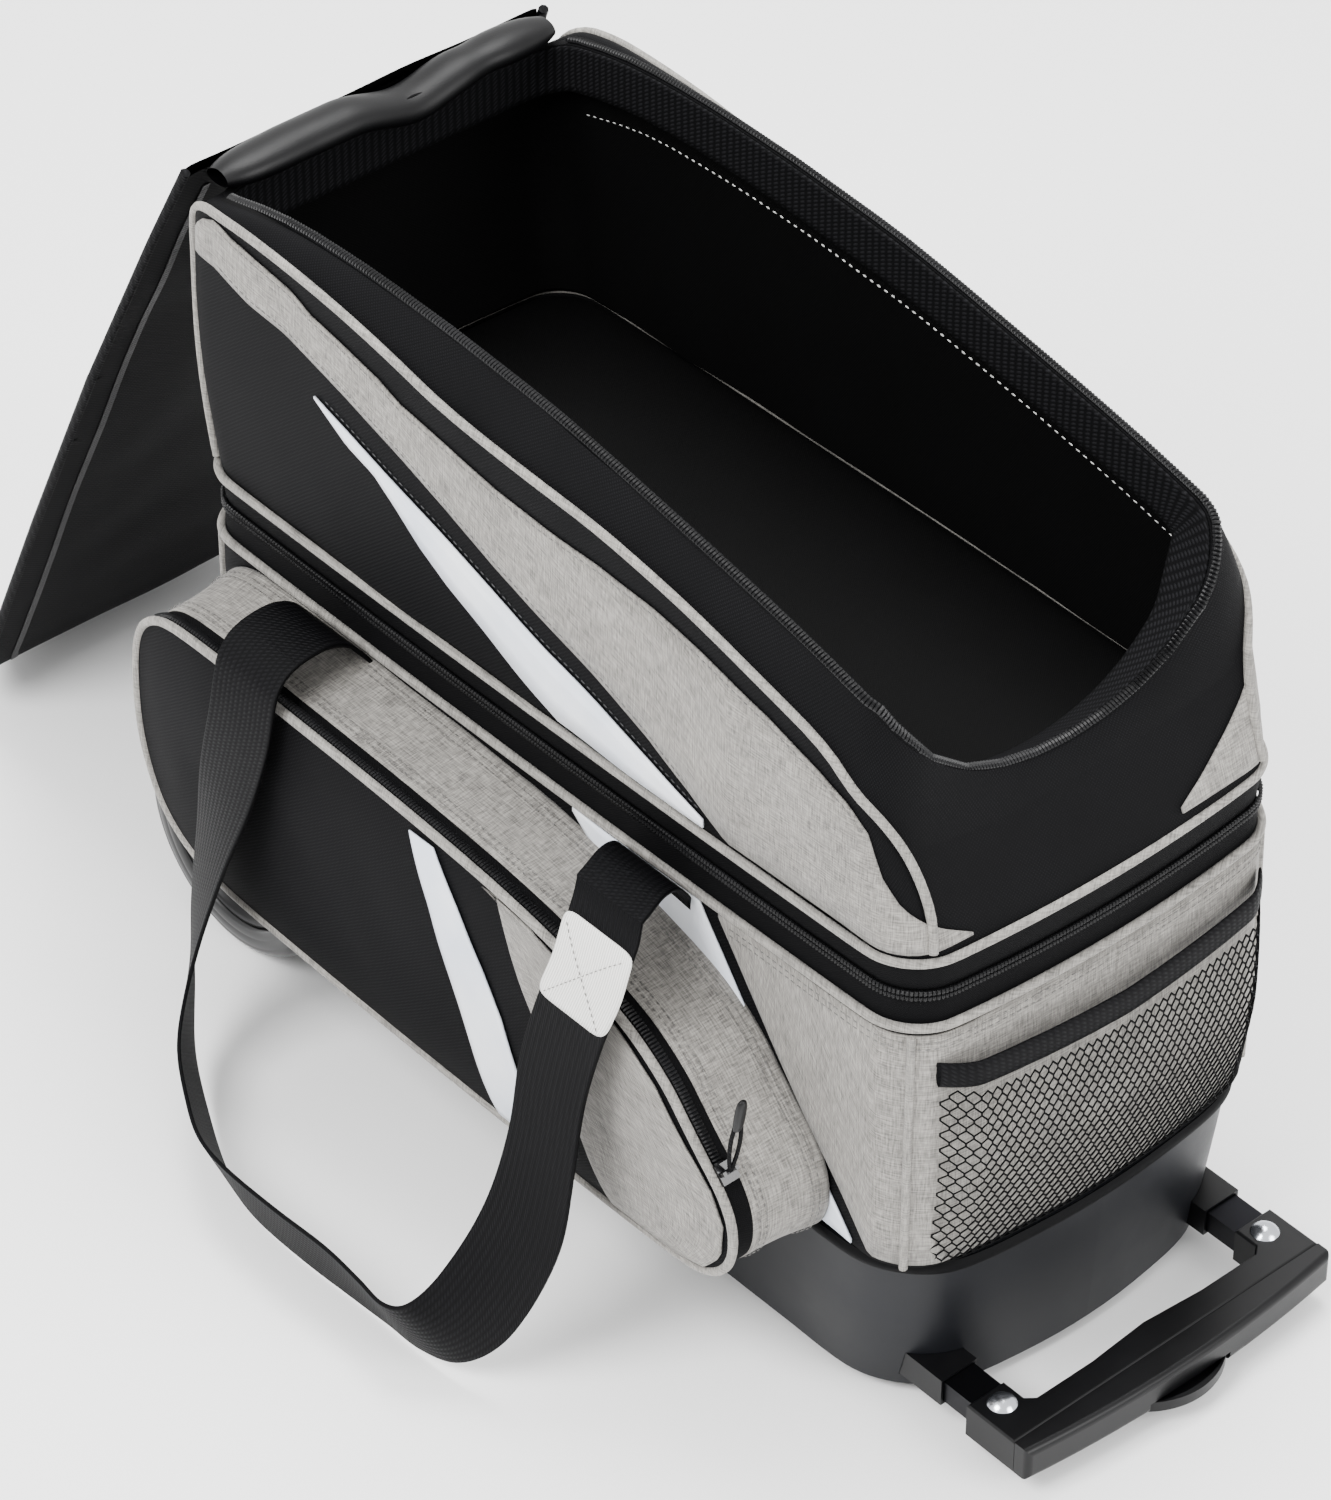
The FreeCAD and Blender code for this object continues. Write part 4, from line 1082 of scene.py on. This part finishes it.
patch_rows = []
for x, y, z in ((129, -196, 281.5), (130.5, -200.5, 275), (131, -203.6, 267), (130, -206.5, 256),
                (127, -209.5, 244), (124.5, -212.5, 233)):
    patch_rows.append([place(x + s * 25.5, y, z) for s in (-1, -0.5, 0, 0.5, 1)])
patch = grid_mesh("strap_patch_sewn", patch_rows)
subdivide(patch, 2)
thicken(patch, 0.0012, 0)
finish_piece(patch, "strap_near_loop", "white_patch", ["strap_patch"], LABEL)


# ---------------------------------------------------------------- accessory pocket
POCKET = [(-261, 190), (-257, 235), (-240, 256), (-205, 261), (-120, 259), (-40, 256), (30, 251), (80, 244),
          (115, 235), (147, 223), (172, 206), (186, 191), (200, 176), (214, 161), (222, 144), (221, 122),
          (209, 106), (185, 99), (120, 97), (0, 97), (-120, 99), (-200, 104), (-238, 122), (-255, 152)]
pocket_curve = curve_through([V((x, 0, z)) / 1000 for x, z in POCKET], 5, True)
POCKET_LINE = [(v.x * 1000, v.z * 1000) for v in resample(pocket_curve, 8, True)]

def wheel_gap(x, z):
    """Distance from the wheel's tread."""
    return math.hypot(x - WHEEL_X, z - WHEEL_R) - WHEEL_R


def pocket_ring(grow, y):
    """The pocket's outline at one depth; beside the wheel it stays in front of it."""
    row = []
    for x, z in moved_out(POCKET_LINE, grow):
        row.append(place(x, min(y, -154) if wheel_gap(x, z) < 9 else y, z))
    return row


gusset_rows = [pocket_ring(grow, y) for grow, y in
               ((5.5, -130.8), (4.6, -136), (2.6, -147), (1.0, -160), (0.4, -172), (0.2, -177.5))]
gusset = grid_mesh("pocket_gusset", gusset_rows, True)
subdivide(gusset, 1)
thicken(gusset, 0.0018, 0)
finish_piece(gusset, "base", "grey_melange", ["pocket_shell"], HEATHER)
gusset_tree = surface_tree(gusset)


def pocket_span(x):
    """Lowest and highest point of the pocket's outline at one distance along."""
    heights = []
    for (x0, z0), (x1, z1) in zip(POCKET_LINE, POCKET_LINE[1:] + POCKET_LINE[:1]):
        if min(x0, x1) <= x <= max(x0, x1) and x0 != x1:
            heights.append(mix(z0, z1, (x - x0) / (x1 - x0)))
    return min(heights), max(heights)


left_end = min(x for x, z in POCKET_LINE) + 0.05
right_end = max(x for x, z in POCKET_LINE) - 0.05
front_rows = []
for j in range(13):
    t = 0.5 - 0.5 * math.cos(math.pi * j / 12)
    row = []
    for k in range(49):
        along_share = -math.cos(math.pi * k / 48)
        x = mix(left_end, right_end, (along_share + 1) / 2)
        low, high = pocket_span(x)
        z = mix(low, high, t)
        crown = 6.5 * (1 - (2 * t - 1) ** 4) * (1 - along_share ** 6)
        row.append(place(x, -191.8 - crown * (1 + crumple(x, 0, z, 85, 0.3)), z))
    front_rows.append(row)
front = flat_uv(grid_mesh("pocket_front", front_rows))
subdivide(front, 1)
front_tree = surface_tree(front)
finish_piece(front, "base", "black_twill", [], BLACK_TWILL)


POCKET_MIDDLE_X, POCKET_MIDDLE_Z, POCKET_REACH = -20.0, 178.0, 180.0


def back_y(x, z):
    """The pocket's back lies on the body, and stands off it beside the wheel."""
    near = (WHEEL_R + 15 - math.hypot(x - WHEEL_X, z - WHEEL_R)) / 9
    near = min(1.0, max(0.0, near))
    return mix(-133.5, -155.5, near * near * (3 - 2 * near))


def back_ring(share):
    """The pocket's outline shrunk towards a line along its middle."""
    row = []
    for x, z in moved_out(POCKET_LINE, -1):
        inner = POCKET_MIDDLE_X + POCKET_REACH * math.tanh((x - POCKET_MIDDLE_X) / POCKET_REACH) * 0.8
        px, pz = mix(inner, x, share), mix(POCKET_MIDDLE_Z, z, share)
        row.append(place(px, back_y(px, pz), pz))
    return row


back_rows = [back_ring(share) for share in (1.0, 0.95, 0.9, 0.85, 0.8, 0.7, 0.6, 0.5, 0.3, 0.15)]
back = flat_uv(grid_mesh("pocket_back", back_rows, True))
subdivide(back, 1)
finish_piece(back, "base", "black_lining", [], LINING)

tape_rows = [pocket_ring(grow, y) for grow, y in
             ((0.1, -176.5), (0.0, -181), (-0.3, -185), (0.0, -189.5), (0.2, -191.5))]
pocket_tape = grid_mesh("pocket_zip_tape", tape_rows, True)
subdivide(pocket_tape, 1)
thicken(pocket_tape, 0.0012, 0)
finish_piece(pocket_tape, "base", "black_webbing", ["pocket_tape"], TAPE)

# the zip runs over the pocket's top, from its wheel end to low on its handle end
start = min(range(len(POCKET_LINE)), key=lambda k: math.dist(POCKET_LINE[k], (-246, 248)))
top_line = POCKET_LINE[start:] + POCKET_LINE[:start]
if top_line[3][1] < top_line[0][1] - 6:
    top_line = [top_line[0]] + top_line[:0:-1]
stop = next(k for k, (x, z) in enumerate(top_line) if x > 150 and z < 168)
zip_line = [place(x, -185, z) for x, z in top_line[:stop]]
outer = moved_out(top_line, 6)
zip_ups = [V((b[0] - a[0], 0, b[1] - a[1])).normalized() for a, b in zip(top_line[:stop], outer)]
raised_line = [p + u * 0.0006 for p, u in zip(zip_line, zip_ups)]
pocket_coil = zip_teeth("pocket_coil_teeth", raised_line, zip_ups, False, 2.1, 3.1, 2.0)
finish_piece(pocket_coil, "base", "zip_nylon", ["pocket_coil"], COIL, False)

piping_line = [place(x, -191.3, z) for x, z in moved_out(POCKET_LINE, 1.0)]
piping = bead("pocket_front_piping", piping_line, 2.6, True, 6)
finish_piece(piping, "base", "grey_piping", ["pocket_piping"], PIPING)

RIGHT_SIDE = [(97.5, 150), (99, 185), (106, 209), (122, 221), (144, 222), (161, 214), (176, 200), (191, 186),
              (206, 172), (223, 147), (235, 115), (244, 80), (251, 30)]


def front_patch(name, left, right, low, high, out_mm, slot, material, replaces=(), columns=40, rise=24):
    """A panel sewn on the pocket's front, between a left and a right edge given by height."""
    rows = []
    for r in range(rise + 1):
        z = mix(low, high, r / rise)
        x0, x1 = interpolate(left, z), interpolate(right, z)
        rows.append([on_skin(front_tree, place(mix(x0, x1, k / columns), -199, z), out_mm, V(AWAY))
                     for k in range(columns + 1)])
    piece = grid_mesh(name, rows)
    thicken(piece, 0.0011, 0)
    return finish_piece(piece, "base", slot, replaces, material)


front_patch("pocket_blade_vinyl", [(98.5, 45), (117, 38), (164, 19), (215, -3), (257, -26)],
            [(98.5, 84), (140, 70), (175, 55), (199, 40), (224, 21), (256, -8)],
            99.5, 251.5, 1.4, "white_vinyl", VINYL, ["pocket_blade"], 10, 30)
front_patch("pocket_front_grey", [(98.5, 135), (147, 110), (168, 96), (208, 71), (251, 45)],
            [(z, x - 3) for z, x in RIGHT_SIDE], 99.5, 250, 1.2, "grey_melange", HEATHER)


# ---------------------------------------------------------------- mesh pocket on the handle end
def net_surface(share_u, share_v):
    """Across the end from -Y to +Y, and up from the seam to the binding."""
    y = mix(-111, 111, share_u)
    z = mix(111, 240, share_v)
    stand = 2.5 + 9.5 * math.sin(math.pi * min(1, share_v * 0.75)) ** 0.8 + 5 * share_v
    edge = min(1.0, (1 - abs(2 * share_u - 1)) * 7)
    line = plan_point(y, z)
    return place(line[0] + stand * (0.25 + 0.75 * edge), line[1], z - 5 * share_v * (1 - abs(2 * share_u - 1)))


def plan_point(y, z):
    """Where the handle end's face is, at one distance across and one height."""
    row = lower_row(z)
    best = [(x, yy) for x, yy, _ in row if x > 200]
    best.sort(key=lambda p: p[1])
    for (x0, y0), (x1, y1) in zip(best, best[1:]):
        if y0 <= y <= y1:
            t = (y - y0) / (y1 - y0) if y1 > y0 else 0
            return x0 + (x1 - x0) * t, y
    return best[0][0] if y < 0 else best[-1][0], y


# six-sided cells, staggered row by row
bm = bmesh.new()
columns, rows_up = 38, 25
shares = {}
for j in range(rows_up * 2 + 2):
    for k in range(columns + 1):
        shift = 0.5 if (j // 2) % 2 else 0.0
        u = (k + shift) / (columns + 0.5)
        v = (j // 2 + (0.34 if j % 2 else 0.0)) / (rows_up + 0.4)
        shares[(j, k)] = bm.verts.new(net_surface(min(u, 1), min(v, 1)))
for j in range(1, rows_up * 2 - 1, 2):
    odd = (j // 2) % 2
    for k in range(columns):
        peak = k + 1 if odd else k
        corners = [(j - 1, k), (j, k), (j + 1, peak), (j, k + 1), (j - 1, k + 1)]
        if j >= 2:
            corners.append((j - 2, peak))
        bm.faces.new([shares[corner] for corner in corners])
mesh = bpy.data.meshes.new("mesh_net")
bmesh.ops.delete(bm, geom=[v for v in bm.verts if not v.link_faces], context="VERTS")
bmesh.ops.recalc_face_normals(bm, faces=bm.faces)
bm.to_mesh(mesh)
bm.free()
net = link("mesh_pocket_net", mesh)
modifier(net, "WIREFRAME", thickness=0.0011, use_even_offset=True, use_boundary=True, use_replace=True)
finish_piece(net, "base", "black_mesh", ["mesh_panel"], WEBBING)

binding_rows = []
for z, out in ((234, 0.6), (236, 2.0), (243, 2.6), (249, 2.0), (251, 0.4), (249, -1.2), (243, -1.4),
               (236, -1.0)):
    row = []
    for k in range(41):
        share = k / 40
        edge = min(1.0, (1 - abs(2 * share - 1)) * 7)
        x, y = plan_point(mix(-112, 112, share), z)
        dip = 5 * (1 - abs(2 * share - 1))
        row.append(place(x + out + (3.5 + 7.5 * edge), y, z - dip))
    binding_rows.append(row)
net_binding = grid_mesh("mesh_pocket_binding", binding_rows, False, True)
subdivide(net_binding, 1)
finish_piece(net_binding, "base", "black_webbing", ["mesh_binding"], BINDING)


# ---------------------------------------------------------------- lid, thrown back over the wheel end
LID_ANGLE, HINGE_X, HINGE_Z = 244.5, -286.0, 488.8
END_ANGLE = LID_ANGLE - 40
REAR_LEAF, FRONT_LEAF = 184.0, 315.0


def lid_point(s, y, out=0.0):
    """s along the lid from its hinge, y across it, out from its outer face, in millimetres."""
    a, e = math.radians(LID_ANGLE), math.radians(END_ANGLE)
    straight = REAR_LEAF + FRONT_LEAF
    first = min(s, straight)
    x, z = HINGE_X + first * math.cos(a), HINGE_Z + first * math.sin(a)
    nx, nz = -math.sin(a), math.cos(a)
    if s > straight:
        x, z = x + (s - straight) * math.cos(e), z + (s - straight) * math.sin(e)
        bend = min(1.0, (s - straight) / 14)
        a2 = mix(a, e, bend)
        nx, nz = -math.sin(a2), math.cos(a2)
    return place(x + nx * out, y, z + nz * out)


# half the lid's width by distance from its hinge
LID_HALF = [(0, 122), (60, 128), (184, 136), (330, 138), (499, 137), (511, 134), (529, 121), (547, 102),
            (561, 79), (570, 51), (574, 24), (575, 4)]


def lid_sheet(name, s0, s1, steps, out, inset, across=24):
    """One stretch of the lid's outer panel or lining, sagging a little between its seams."""
    rows = []
    for k in range(steps + 1):
        s = mix(s0, s1, k / steps)
        half = max(interpolate(LID_HALF, s) - inset, 3)
        row = []
        for j in range(across + 1):
            share = 2 * j / across - 1
            y = half * math.copysign(abs(share) ** 0.9, share)
            sag = 2.0 * noise.noise(V((s / 95, y / 80, 1.0))) + 1.2 * noise.noise(V((s / 40, y / 55, 6.0)))
            row.append(lid_point(s, y, out + sag * (1 - share * share * 0.6)))
        rows.append(row)
    sheet = grid_mesh(name, rows)
    subdivide(sheet, 1)
    return sheet


# each stretch of the lid: from, to, the bodies that it bends between, and where it bends
lid_joints = {"rear": (0.8, REAR_LEAF, "lid_strip", "lid_rear_leaf", 0.0, 26.0),
              "middle": (REAR_LEAF, REAR_LEAF + 60, "lid_rear_leaf", "lid_front_leaf",
                         REAR_LEAF, REAR_LEAF + 26),
              "front": (REAR_LEAF + 60, REAR_LEAF + FRONT_LEAF - 30, None, "lid_front_leaf", 0, 0),
              "end": (REAR_LEAF + FRONT_LEAF - 30, 574.5, "lid_front_leaf", "lid_end_flap",
                      REAR_LEAF + FRONT_LEAF - 12, REAR_LEAF + FRONT_LEAF + 14)}
lid_steps = {"rear": 16, "middle": 8, "front": 22, "end": 14}


def lid_place(obj, part, slot_name, material, replaces=(), smooth=True):
    """Fasten a piece of one stretch of the lid to its body, or blend it over the fold."""
    before, after, bend0, bend1 = lid_joints[part][2:]
    if before:
        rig.blend(obj, before, after, lid_point(bend0, 0), lid_point(bend1, 0))
        return finish_piece(obj, None, slot_name, replaces, material, smooth)
    return finish_piece(obj, after, slot_name, replaces, material, smooth)


for part, (s0, s1, *_rest) in lid_joints.items():
    top = lid_sheet("lid_outer_" + part, s0, s1, lid_steps[part], 2.6, 0)
    apply_stack(top)
    lid_tree = surface_tree(top)
    gone = {"rear": ["lid_rear"], "middle": ["lid_front"], "end": ["lid_end"]}.get(part, [])
    # the lid's outer panel takes the darker twill: painted shade
    lid_place(top, part, "black_twill", PAINTED_SHADE_TWILL, gone)
    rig.padded(top, fill=0.3)
    under = lid_sheet("lid_lining_" + part, s0, s1, lid_steps[part], -2.6, 1.5)
    apply_stack(under)
    lid_place(under, part, "black_lining", LINING)
    for side, word in ((-1, "near"), (1, "far")):
        edge, coil = [], []
        for k in range(21):
            s = mix(s0, s1, k / 20)
            half = interpolate(LID_HALF, s)
            edge.append(lid_point(s, side * (half - 0.6), 0.2))
            if s > 12:
                y = side * max(interpolate(LID_HALF, min(s + 9, 574)) - 20, 3)
                coil.append(on_skin(lid_tree, lid_point(min(s, 566), y, 4.6), 0.5, V((0.9, 0, 0.4))))
        rim = bead("lid_edge_%s_%s" % (part, word), edge, 2.9)
        lid_place(rim, part, "black_webbing", BINDING)
        coil_name = "lid_coil_teeth_%s_%s" % (part, word)
        teeth = zip_teeth(coil_name, coil, ups_on(lid_tree, coil), False, 2.2, 2.4, 2.0)
        gone = {"rear": ["lid_coil_rear"], "middle": ["lid_coil_front"], "end": ["lid_coil_end"]}.get(part, [])
        lid_place(teeth, part, "zip_nylon", COIL, gone if side < 0 else [], False)

# the rolled hinge strip across the top of the wheel end
roll_rows = []
ROLL_X, ROLL_Z, ROLL_HALF = -272, 488, 111
roll_profile = [(-258.5, 483), (-256.5, 488), (-259, 494), (-266, 497.6), (-275, 497.6), (-283, 494.6),
                (-288.8, 489.5), (-289, 484), (-283, 480), (-270, 480)]
for k in range(41):
    share = k / 40 * 2 - 1
    y = share * ROLL_HALF
    pinch = 1 - 0.45 * abs(share) ** 10 - 0.12 * math.exp(-((y - 62) / 10) ** 2)
    drop = 8 * math.exp(-((y - 12) / 26) ** 2) + 1.0 * math.sin(y / 21)
    row = []
    for x, z in roll_profile:
        fold = 0.5 * noise.noise(V((x / 14, y / 22, z / 14)))
        row.append(place(ROLL_X + (x - ROLL_X) * pinch + fold, y,
                         ROLL_Z + (z - ROLL_Z) * pinch - max(0, drop) + fold))
    roll_rows.append(row)
roll = grid_mesh("lid_hinge_roll", roll_rows, True)
subdivide(roll, 2)
apply_stack(roll)
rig.blend(roll, "upper_section", "lid_strip", place(-259, 0, 489), place(-266, 0, 490))
finish_piece(roll, None, "black_lining", ["hinge_roll"], ROLL_NYLON)


# ---------------------------------------------------------------- topstitching
def sew(name, points, ups, body, slot, thread, closed=False, **sizes):
    return finish_piece(stitches(name, points, ups, closed=closed, **sizes), body, slot, [], thread, False)


ring_ups = [V((b[0] - a[0], 0, b[1] - a[1])).normalized()
            for a, b in zip(POCKET_LINE, moved_out(POCKET_LINE, 5))]
for number, (grow, y) in enumerate(((5.3, -137), (4.7, -141), (1.7, -169.5), (1.4, -173.5))):
    outline = moved_out(POCKET_LINE, grow)
    points = [place(x, y, z) for x, z in outline if wheel_gap(x, z) > 14]
    ups = [u for u, (x, z) in zip(ring_ups, outline) if wheel_gap(x, z) > 14]
    points = [on_skin(gusset_tree, p, 1.1, u) for p, u in zip(points, ups)]
    cut = max(range(len(points)), key=lambda k: (points[k] - points[k - 1]).length)
    points, ups = points[cut:] + points[:cut], ups[cut:] + ups[:cut]
    sew("gusset_stitching_%d" % number, points, ups, "base", "grey_melange", THREAD_GREY)


def stitch_line(name, tree, table, inset, start, stop, side, body, slot, thread, out=1.6, count=90):
    """Topstitching beside a panel's edge."""
    points = []
    for k in range(count):
        d = mix(start, stop, k / (count - 1))
        x, y = wrap(d, side)
        points.append(on_skin(tree, place(x, y, interpolate(table, d) + inset), out))
    sew(name, points, ups_on(tree, points), body, slot, thread)


for side, word, top, stop in ((-1, "near", BAND_TOP, 245), (1, "far", FAR_TOP, 255)):
    stitch_line("band_stitching_top_" + word, upper_tree, top, -3, -246, stop, side,
                "upper_section", "grey_melange", THREAD_GREY)
    stitch_line("band_stitching_low_" + word, upper_tree, BAND_LOW, 3, -246, 122, side,
                "upper_section", "grey_melange", THREAD_GREY)
    stitch_line("blade_stitching_" + word, upper_tree, BLADE_TOP, 3.2, -160, 130, side,
                "upper_section", "black_twill", THREAD_BLACK, 0.6)
    for row, drop in enumerate((4.5, 8.5)):
        stitch_line("end_panel_stitching_%s_%d" % (word, row), lower_tree, [(0, 266.5)], -drop, 152, 392, side,
                    "base", "grey_melange", THREAD_GREY, 1.5)

lining_ups, lining_points = [], []
for x, y, z in upper_row(2.0, 50):
    if x > -262:
        point = on_skin(lining_tree, place(x, y, z), -0.7)
        lining_points.append(point)
        lining_ups.append((V((place(0, 0, 0).x, 0, point.z)) - point).normalized())
cut = max(range(len(lining_points)), key=lambda k: (lining_points[k] - lining_points[k - 1]).length)
sew("lining_stitching", lining_points[cut:] + lining_points[:cut], lining_ups[cut:] + lining_ups[:cut],
    "upper_section", "black_lining", THREAD_WHITE, length_mm=3.0, gap_mm=2.4, radius_mm=0.4)

patch_tree = surface_tree(patch)
corner_a, corner_b = V((129, -197, 279)), V((124.5, -211.5, 236.5))
for word, flip in (("a", 1), ("b", -1)):
    points = []
    for k in range(13):
        t = k / 12
        p = corner_a.lerp(corner_b, t)
        above = place(p.x + flip * mix(-21, 21, t), p.y - 6, p.z)
        points.append(on_skin(patch_tree, above, 0.5, V((0, -1, 0.6))))
    sew("patch_stitching_" + word, points, [V((0, -0.9, 0.4))] * 13, "strap_near_loop", "white_patch",
        THREAD_GREY, length_mm=2.4, gap_mm=1.2, radius_mm=0.25)


# ---------------------------------------------------------------- wheels and zip pull
WHEEL_MIDDLE, STUD_RING = 132, 34


def turned_ring(name, profile, side, steps=72):
    """A closed profile of (radius, distance out from the wheel's middle) turned about the axle."""
    rows = []
    for r, w in profile:
        y = side * (WHEEL_MIDDLE + w)
        ring = []
        for k in range(steps):
            a = 2 * math.pi * k / steps
            ring.append(place(WHEEL_X + r * math.cos(a), y, WHEEL_R + r * math.sin(a)))
        rows.append(ring)
    wheel = grid_mesh(name, rows, True, True)
    bm = bmesh.new()
    bm.from_mesh(wheel.data)
    bmesh.ops.recalc_face_normals(bm, faces=bm.faces)
    bm.to_mesh(wheel.data)
    bm.free()
    return wheel


TYRE = [(53.2, -15.5), (55, -17), (61, -17.8), (66, -17.8), (70, -15.8), (72.4, -12), (73.2, -6), (73.3, 0),
        (73.2, 6), (72.4, 12), (70, 15.8), (66.5, 17.6), (65.6, 17.1), (64.6, 17.7), (60.6, 17.9),
        (59.8, 17.3), (59, 17.8), (55, 17.4), (53.2, 15.8), (53, 8), (53, -8)]
RIM = [(11.2, -13.5), (20, -14), (24, -8.2), (43.5, -8.2), (48, -14.6), (52.6, -15), (52.9, -12),
       (52.9, 12), (52.6, 15.4), (50, 15.8), (48.4, 14.6), (46.4, 9.4), (42, 8.6), (40.5, 7.6), (39, 8.4),
       (30, 8), (28, 6.6), (25.5, 7), (22.4, 12.6), (20, 13.3), (11.2, 13.3)]
for side, word in ((-1, "near"), (1, "far")):
    tyre = turned_ring("tyre_ring_" + word, TYRE, side)
    subdivide(tyre, 1)
    finish_piece(tyre, "wheel_" + word, "wheel_urethane", ["tyre_" + word], WHEEL_PLASTIC)
    hub = turned_ring("hub_dish_" + word, RIM, side)
    finish_piece(hub, "wheel_" + word, "black_plastic", ["hub_" + word], ABS_BLACK)
    bolts = bmesh.new()
    for k in range(5):
        a = 2 * math.pi * k / 5
        centre = place(WHEEL_X + STUD_RING * math.cos(a), side * 140.6, WHEEL_R + STUD_RING * math.sin(a))
        made = bmesh.ops.create_uvsphere(bolts, u_segments=10, v_segments=6, radius=0.0034)
        bmesh.ops.scale(bolts, vec=(1, 0.5, 1), verts=made["verts"])
        bmesh.ops.translate(bolts, vec=centre, verts=made["verts"])
    mesh = bpy.data.meshes.new("hub_studs_" + word)
    bolts.to_mesh(mesh)
    bolts.free()
    finish_piece(link("hub_studs_" + word, mesh), "wheel_" + word, "black_plastic", [], ABS_BLACK)

PULL_X, PULL_Y, PULL_Z, PULL_LEAN = 213.6, -184.8, 172, 0.16
loop_line = [place(PULL_X, -184.5, 172.3)]
for sign, heights in ((-1, (178, 188, 200, 212)), (1, (212, 200, 188, 178))):
    for z in heights:
        swell = 2.6 * math.sin(math.pi * (z - PULL_Z) / 46)
        x = PULL_X + (z - PULL_Z) * PULL_LEAN + sign * swell * 0.35
        loop_line.append(place(x, PULL_Y + sign * swell, z))
cord_loop = bead("pull_cord_loop", loop_line, 1.15, True, 4)
finish_piece(cord_loop, "zip_pull", "painted_zip_metal", ["pocket_pull"], WEBBING)
tip_rows = []
for z, wide, thick in ((204, 2.2, 1.4), (206, 3.4, 2.0), (213, 3.8, 2.3), (221, 3.6, 2.3), (225, 3.0, 1.9),
                       (226.6, 1.6, 1.0)):
    row = []
    for k in range(16):
        a = 2 * math.pi * k / 16
        x = PULL_X + (z - PULL_Z) * PULL_LEAN + thick * math.cos(a)
        row.append(place(x, PULL_Y + wide * math.sin(a), z))
    tip_rows.append(row)
foot, head = (sum(tip_rows[k], V((0, 0, 0))) / 16 for k in (0, -1))
tip_rows = [[foot] * 16] + tip_rows + [[head] * 16]
tip = merged(grid_mesh("pull_moulded_tip", tip_rows, True), 0.00005)
subdivide(tip, 1)
finish_piece(tip, "zip_pull", "painted_zip_metal", [], ABS_BLACK)


# ---------------------------------------------------------------- hard parts kept from the design
def repaint(material, *names):
    for name in names:
        piece = frame["nodes"][name]
        piece.data.materials.clear()
        piece.data.materials.append(material)


repaint(BASE_PLASTIC, "base_tub")
repaint(ABS_BLACK, "base_feet", "handle_rails", "rail_clamps", "grip_frame", "grip_cover", "release_button",
        "hub_cap_near", "hub_cap_far")
repaint(TUBE_PAINT, "handle_tubes")
repaint(STEEL, "axle_near", "axle_far", "bearings_near", "bearings_far", "rail_screws")
repaint(RIVET_STEEL, "grip_rivets")
repaint(SLIDER_METAL, "pocket_slider")
repaint(FOAM, "ball_cradle")
repaint(BINDING, "base_binding")
# the hinges take the darker twill too: painted shade
repaint(PAINTED_SHADE_TWILL, "belt_hinge", "hinge_base")


# ---------------------------------------------------------------- floor, lights and camera
floor_material = new_material("studio_paper_white", 0.9, "F6F6F6")[0]
floor_data = bpy.data.meshes.new("floor")
floor_data.from_pydata([(-9, -9, 0), (9, -9, 0), (9, 9, 0), (-9, 9, 0)], [], [(0, 1, 2, 3)])
floor = link("floor", floor_data)
floor.data.materials.append(floor_material)
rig.stage(floor)

world = bpy.data.worlds.new("studio")
bpy.context.scene.world = world
world.use_nodes = True
sky = world.node_tree.nodes["Background"].inputs
sky["Color"].default_value = (1, 1, 1, 1)
sky["Strength"].default_value = 1.6


AIM = (0.05, 0, 0.2)


def area_light(name, where, size, power):
    data = bpy.data.lights.new(name, "AREA")
    data.shape = "DISK"
    data.size = size
    data.energy = power
    lamp = link(name, data)
    lamp.location = where
    lamp.rotation_euler = (V(AIM) - V(where)).to_track_quat("-Z", "Y").to_euler()
    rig.stage(lamp)


area_light("key_softbox", (0.2, -2.2, 2.6), 1.6, 150)
area_light("top_softbox", (-0.6, 0.6, 2.8), 1.8, 110)
area_light("end_softbox", (2.6, 0.6, 1.6), 1.4, 60)

camera_data = bpy.data.cameras.new("camera")
camera_data.lens = 138.48
camera_data.sensor_width = 36
camera_data.sensor_fit = "AUTO"
camera = link("camera", camera_data)
camera.location = (1.86696, -1.58234, 2.14242)
azimuth, elevation = math.radians(48.9), math.radians(39.13)
camera.rotation_euler = (math.pi / 2 - elevation, 0, azimuth)
bpy.context.scene.camera = camera

seen_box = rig.bounds()
with open("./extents.json", "w") as file:
    json.dump({"cad": [list(c) for c in cad_box], "visual": [list(c) for c in seen_box]}, file)
